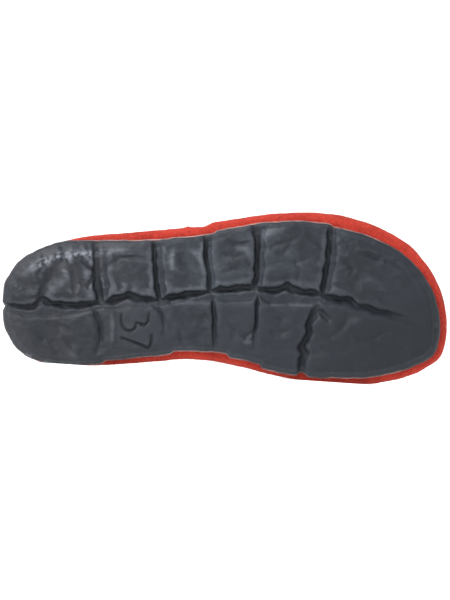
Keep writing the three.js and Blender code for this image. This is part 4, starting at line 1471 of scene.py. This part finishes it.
    def build(self, pose: Pose) -> bpy.types.Object:
        """Builds and dresses the upper.

        Args:
            pose: Lays the upper down.

        Returns:
            The upper's object.
        """
        low, high = 0.3, 0.9
        for _ in range(30):
            middle = (low + high) / 2
            if self.climb_to_edge(np.array([middle]))[0] < 1.0:
                low = middle
            else:
                high = middle
        meet = high
        stations = np.concatenate([self._spread(0.0, meet, 130)[:-1], self._spread(meet, 1.0, 110)])
        turns = np.concatenate([stations, 2.0 - stations[-2:0:-1]])
        cut = stations_of(turns) <= meet + 1e-9
        ends = self.climb_to_edge(turns)
        ends[~cut] = 1.0
        ends[np.isclose(stations_of(turns), meet)] = 1.0

        weave = Weave()
        sheets = []
        for skin in (0.0, self.wall):
            rows = [self.flank(turns, np.full(len(turns), c), skin) for c in np.linspace(0, 1, 13)[:-1]]
            rows += [self.crown(turns, ends * c, skin) for c in np.linspace(0, 1, 52)]
            numbers = weave.add(np.stack(rows))
            weave.sheet(numbers, closed=True)
            sheets.append(numbers)
        outer, inner = sheets
        points = weave.all_points()
        self._edge(weave, turns, cut, points[outer[-1]], points[inner[-1]], outer[-1], inner[-1])
        middle_ring = weave.add((points[outer[0]] + points[inner[0]]) / 2)
        weave.sheet(np.stack([outer[0], middle_ring, inner[0]]), closed=True)

        shaped = self._felted(weave.all_points(), outer.ravel())
        made = weave.build("upper_felt", pose.place(shaped), {})
        made.data.materials.append(UPPER_FELT.make())
        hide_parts("upper")
        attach(made, "root")
        return made

    def _spread(self, start: float, end: float, count: int) -> np.ndarray:
        """Stations from start to end that lie evenly along the felt's outline."""
        fine = np.linspace(start, end, 2000)
        steps = np.linalg.norm(np.diff(FELT_OUTLINE.point(fine), axis=0), axis=1)
        steps += np.linalg.norm(np.diff(FELT_OUTLINE.point(2 - fine), axis=0), axis=1)
        length = np.concatenate([[0.0], np.cumsum(steps)])
        return np.interp(np.linspace(0, length[-1], count + 1), length, fine)

    def _edge(
        self,
        weave: Weave,
        turns: np.ndarray,
        cut: np.ndarray,
        outer: np.ndarray,
        inner: np.ndarray,
        outer_numbers: np.ndarray,
        inner_numbers: np.ndarray,
    ) -> None:
        """Rounds the cut edge of the felt between its outer and inner faces.

        Args:
            weave: Gains the new vertices and faces.
            turns: The loop's turns.
            cut: Which of them end at the throat.
            outer: The end of each outer profile.
            inner: The end of each inner profile.
            outer_numbers: Their vertex numbers.
            inner_numbers: Their vertex numbers.
        """
        line = self.throat_line()
        slope = np.gradient(line, axis=0)
        slope /= np.linalg.norm(slope, axis=1, keepdims=True)
        dx = np.interp(outer[:, 0], line[:, 0], slope[:, 0])
        dz = np.interp(outer[:, 0], line[:, 0], slope[:, 1])
        away = np.stack([-dz, np.zeros_like(dx), dx], axis=-1)
        rows = [outer_numbers]
        for share in (0.06, 0.18, 0.34, 0.5, 0.66, 0.82, 0.94):
            bulge = self.edge_round * math.sin(math.pi * share) ** 0.6
            rows.append(weave.add(outer * (1 - share) + inner * share + away * bulge))
        rows.append(inner_numbers)
        numbers = np.stack(rows)
        order = np.argsort(np.where(turns > 1.0, turns - 2.0, turns))
        strip = order[cut[order]]
        weave.sheet(numbers[:, strip])

    def _felted(self, points: np.ndarray, outer: np.ndarray) -> np.ndarray:
        """Gives the felt its soft lumps and the creases over the ball.

        Args:
            points: All vertices.
            outer: The numbers of those on the outer face.

        Returns:
            The moved vertices.
        """
        shaped = points.copy()
        soft = 0.45 * lumps(points, 26.0, 11.0) + 0.26 * lumps(points, 7.5, 12.0)
        soft += 0.14 * lumps(points, 3.0, 23.0)
        tuft = np.array([107.0, -43.8, 18.0])
        soft[outer] += 0.9 * np.exp(-(((points[outer] - tuft) / 1.8) ** 2).sum(axis=1))
        middle = np.array([120.0, 0.0, 30.0])
        away = points - middle
        away[:, 0] *= 0.25
        away /= np.linalg.norm(away, axis=1, keepdims=True)
        lift = smooth(points[:, 2], 11.0, 18.0)
        shaped += away * (soft * lift)[:, None]
        top = smooth(points[:, 2], 26.0, 42.0)
        for start, bow, width, depth in self.creases:
            line = start - bow * (points[:, 1] / 40.0) ** 2
            fold = np.exp(-(((points[:, 0] - line) / width) ** 2)) * top
            shaped[:, 2] -= depth * fold
        return shaped


@dataclass
class Nap:
    """Short loose fibres that stand off the felt."""

    density: float = 210000.0
    length: float = 0.0013
    thickness: float = 0.00006
    seed: int = 37

    def tree(self, material: bpy.types.Material) -> bpy.types.NodeTree:
        """The node tree that scatters the fibres.

        Args:
            material: The fibres' material.

        Returns:
            The tree, with its sizes as named inputs.
        """
        tree = bpy.data.node_groups.new("nap", "GeometryNodeTree")
        tree.interface.new_socket("Geometry", in_out="INPUT", socket_type="NodeSocketGeometry")
        for name in ("Density", "Length", "Thickness"):
            tree.interface.new_socket(name, in_out="INPUT", socket_type="NodeSocketFloat")
        tree.interface.new_socket("Geometry", in_out="OUTPUT", socket_type="NodeSocketGeometry")

        def add(kind: str, **inputs: object) -> bpy.types.Node:
            """Adds a node, with plain values or sockets for its inputs."""
            made = tree.nodes.new(kind)
            for key, value in inputs.items():
                slot = made.inputs[key.replace("_", " ")]
                if isinstance(value, bpy.types.NodeSocket):
                    tree.links.new(value, slot)
                else:
                    slot.default_value = value
            return made

        given = tree.nodes.new("NodeGroupInput").outputs
        spread = add(
            "GeometryNodeDistributePointsOnFaces",
            Mesh=given["Geometry"],
            Density=given["Density"],
            Seed=self.seed,
        )
        fibre = add(
            "GeometryNodeMeshCone",
            Vertices=3,
            Radius_Top=0.0,
            Radius_Bottom=given["Thickness"],
            Depth=given["Length"],
        )
        lean = tree.nodes.new("FunctionNodeRandomValue")
        lean.data_type = "FLOAT_VECTOR"
        lean.inputs["Min"].default_value = (-1.25, -1.25, -3.1)
        lean.inputs["Max"].default_value = (1.25, 1.25, 3.1)
        lean.inputs["Seed"].default_value = self.seed
        turned = add("FunctionNodeRotateRotation", Rotation=spread.outputs["Rotation"])
        turned.rotation_space = "LOCAL"
        tree.links.new(lean.outputs["Value"], turned.inputs["Rotate By"])
        sizes = tree.nodes.new("FunctionNodeRandomValue")
        sizes.data_type = "FLOAT"
        sizes.inputs[2].default_value = 0.45
        sizes.inputs[3].default_value = 1.35
        sizes.inputs["Seed"].default_value = self.seed + 1
        placed = add(
            "GeometryNodeInstanceOnPoints",
            Points=spread.outputs["Points"],
            Instance=fibre.outputs["Mesh"],
            Rotation=turned.outputs["Rotation"],
            Scale=sizes.outputs[1],
        )
        plain = add("GeometryNodeRealizeInstances", Geometry=placed.outputs["Instances"])
        dressed = add("GeometryNodeSetMaterial", Geometry=plain.outputs["Geometry"], Material=material)
        tree.links.new(dressed.outputs["Geometry"], tree.nodes.new("NodeGroupOutput").inputs[0])
        return tree

    def build(self, felt: bpy.types.Object, material: bpy.types.Material) -> bpy.types.Object:
        """Scatters the fibres over the felt.

        Args:
            felt: The felt's object.
            material: The fibres' material.

        Returns:
            The fibres as one plain mesh.
        """
        made = bpy.data.objects.new("felt_nap", felt.data.copy())
        bpy.context.scene.collection.objects.link(made)
        modifier = made.modifiers.new("nap", "NODES")
        modifier.node_group = self.tree(material)
        wanted = {"Density": self.density, "Length": self.length, "Thickness": self.thickness}
        for item in modifier.node_group.interface.items_tree:
            if item.item_type == "SOCKET" and item.name in wanted:
                modifier[item.identifier] = wanted[item.name]
        evaluated = made.evaluated_get(bpy.context.evaluated_depsgraph_get())
        mesh = bpy.data.meshes.new_from_object(evaluated)
        made.modifiers.remove(modifier)
        made.data = mesh
        spots = np.empty(len(mesh.vertices) * 3, np.float32)
        mesh.vertices.foreach_get("co", spots)
        spots = spots.reshape(-1, 3)
        spots[:, 2] = np.maximum(spots[:, 2], 0.0)
        mesh.vertices.foreach_set("co", spots.ravel())
        mesh.update()
        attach(made, "root")
        return made


@dataclass
class Insole:
    """The felt footbed, dished along its middle and pressed where the foot stands."""

    thickness: float = 4.0
    dish: float = 1.2
    patch: Patch = Patch(along=150, across=48)

    def build(self, pose: Pose, upper: Upper) -> bpy.types.Object:
        """Builds and dresses the insole.

        Args:
            pose: Lays the insole down.
            upper: The felt that it lies in.

        Returns:
            The insole's object.
        """
        weave = Weave()
        turns = self.patch.turns(SOLE_OUTLINE)
        skin = upper.wall + upper.gap + 0.15
        lift = upper.bulge - upper.gap
        rows = []
        for share in (1.0, 0.93, 0.75, 0.5, 0.25, 0.0):
            wanted = self.thickness * share / lift
            angle = math.acos((1 - wanted) ** (upper.flank_power / 2))
            climb = np.full(len(turns), angle / (math.pi / 2))
            side = upper.flank(turns, climb, skin)
            side[:, :2] -= FELT_OUTLINE.outward(turns) * (0.7 if share > 0.95 else 0.12)
            rows.append(side)
        grid = self.patch.fill(rows[0][:, :2])
        flat = grid.reshape(-1, 2)
        m = self.patch.across
        across = np.tile(np.linspace(0, 1, m + 1), self.patch.along + 1)
        along = np.repeat(np.linspace(0, 1, self.patch.along + 1), m + 1)
        hollow = 4 * across * (1 - across) * np.sin(math.pi * along)
        heel = np.exp(-(((flat[:, 0] - 40) / 24) ** 2) - ((flat[:, 1] / 20) ** 2))
        ball = np.exp(-(((flat[:, 0] - 182) / 26) ** 2) - (((flat[:, 1] - 2) / 30) ** 2))
        top = SIDE_VIEW.top(station_at(flat[:, 0] / SOLE_LENGTH)) + upper.gap + self.thickness
        top += 0.1 * lumps(flat, 9.0, 21.0) - self.dish * hollow - (0.35 * heel + 0.3 * ball)
        shape = (self.patch.along + 1, m + 1)
        upper_face = weave.add(np.column_stack([flat, top]).reshape(*shape, 3))
        edge = self.patch.border(upper_face)
        weave.sheet(upper_face)
        rings = [edge] + [weave.add(row) for row in rows[1:]]
        for high, low in zip(rings[:-1], rings[1:]):
            weave.sheet(np.stack([high, low]), closed=True)
        floor = self.patch.fill(rows[-1][:, :2]).reshape(-1, 2)
        level = SIDE_VIEW.top(station_at(floor[:, 0] / SOLE_LENGTH)) + upper.gap
        lower_face = weave.add(np.column_stack([floor, level]).reshape(*shape, 3))
        weave.sheet(lower_face)

        made = weave.build("insole_felt", pose.place(weave.all_points()), {})
        made.data.materials.append(FOOTBED_FELT.make())
        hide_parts("insole")
        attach(made, "root")
        return made


@dataclass
class Studio:
    """The pale ground, the lights and the camera."""

    distance: float = 6.0
    sky_strength: float = 0.4
    sensor_height: float = 24.0
    frame_height: float = DRAWING.rows * DRAWING.step / 1000

    def build(self, pose: Pose) -> None:
        """Sets up the studio.

        Args:
            pose: Gives the camera its place over the sole.
        """
        self._ground()
        self._light("key", (-0.44, -0.5, 0.6), 0.3, 5.6)
        self._sun((-0.5, -0.5, 0.8), 1.75)
        world = bpy.data.worlds.new("studio")
        world.use_nodes = True
        glow = world.node_tree.nodes["Background"]
        glow.inputs["Color"].default_value = (*WHITE, 1.0)
        glow.inputs["Strength"].default_value = self.sky_strength
        bpy.context.scene.world = world
        bpy.context.scene.view_settings.view_transform = "Standard"
        self._camera(pose)

    def _ground(self) -> None:
        """A round floor that curves up into a wall far off on all sides."""
        reach, bend, wall = 9.0, 2.0, 6.0
        arc = np.linspace(0.0, math.pi / 2, 10)
        profile = [(0.5, 0.0)] + [(reach + bend * math.sin(a), bend * (1 - math.cos(a))) for a in arc]
        profile.append((reach + bend, wall))
        around = np.linspace(0.0, 2 * math.pi, 72, endpoint=False)
        weave = Weave()
        rings = [
            weave.add(np.stack([r * np.cos(around), r * np.sin(around), np.full_like(around, z)], axis=-1))
            for r, z in profile
        ]
        for low, high in zip(rings[:-1], rings[1:]):
            weave.sheet(np.stack([low, high]), closed=True)
        hub = weave.add(np.zeros((1, 3)))[0]
        first = rings[0]
        weave.triangles.append(np.stack([np.full(len(first), hub), first, np.roll(first, -1)], axis=-1))
        ground = weave.build("ground", weave.all_points(), {})
        ground.data.flip_normals()
        ground.data.materials.append(PaperFinish().make())

    def _light(self, name: str, place: tuple[float, float, float], size: float, power: float) -> None:
        """Adds a square soft light that faces the shoe.

        Args:
            name: The light's name.
            place: Where it stands, in metres.
            size: Its side, in metres.
            power: Its power in watts.
        """
        lamp = bpy.data.lights.new(name, "AREA")
        lamp.size = size
        lamp.energy = power
        holder = bpy.data.objects.new(name, lamp)
        holder.location = place
        aim = Vector((0.0, 0.0, 0.05)) - Vector(place)
        holder.rotation_euler = aim.to_track_quat("-Z", "Y").to_euler()
        bpy.context.scene.collection.objects.link(holder)

    def _sun(self, towards: tuple[float, float, float], power: float) -> None:
        """Adds an even light from far off.

        Args:
            towards: The direction to the light.
            power: Its strength.
        """
        lamp = bpy.data.lights.new("sky", "SUN")
        lamp.energy = power
        lamp.angle = 0.3
        holder = bpy.data.objects.new("sky", lamp)
        holder.rotation_euler = (-Vector(towards)).to_track_quat("-Z", "Y").to_euler()
        bpy.context.scene.collection.objects.link(holder)

    def _camera(self, pose: Pose) -> None:
        """Looks straight at the sole, rolled so that the shoe's long axis is level."""
        x, y = DRAWING.place(225.0, 300.0)
        aim = Vector(pose.place(np.array([[x, y, 0.0]]))[0])
        right, up, ahead = pose.direction(1, 0, 0), pose.direction(0, -1, 0), pose.direction(0, 0, 1)
        lens = bpy.data.cameras.new("camera")
        lens.sensor_fit = "VERTICAL"
        lens.sensor_height = self.sensor_height
        lens.lens = self.sensor_height * self.distance / self.frame_height
        holder = bpy.data.objects.new("camera", lens)
        turn = Matrix((right, up, -ahead)).transposed()
        holder.matrix_world = Matrix.Translation(aim - ahead * self.distance) @ turn.to_4x4()
        bpy.context.scene.collection.objects.link(holder)
        bpy.context.scene.camera = holder


def main() -> None:
    """Builds the slipper and its studio, and reports each piece."""
    logging.basicConfig(level=logging.INFO, format="%(message)s")
    pose = Pose()
    Studio().build(pose)
    upper = Upper()
    felt = upper.build(pose)
    wool = LOOSE_WOOL.make()
    for made in (Outsole().build(pose), felt, Insole().build(pose, upper), Nap().build(felt, wool)):
        made.data.calc_loop_triangles()
        LOG.info("%s: %d triangles", made.name, len(made.data.loop_triangles))


if __name__ == "__main__":
    main()
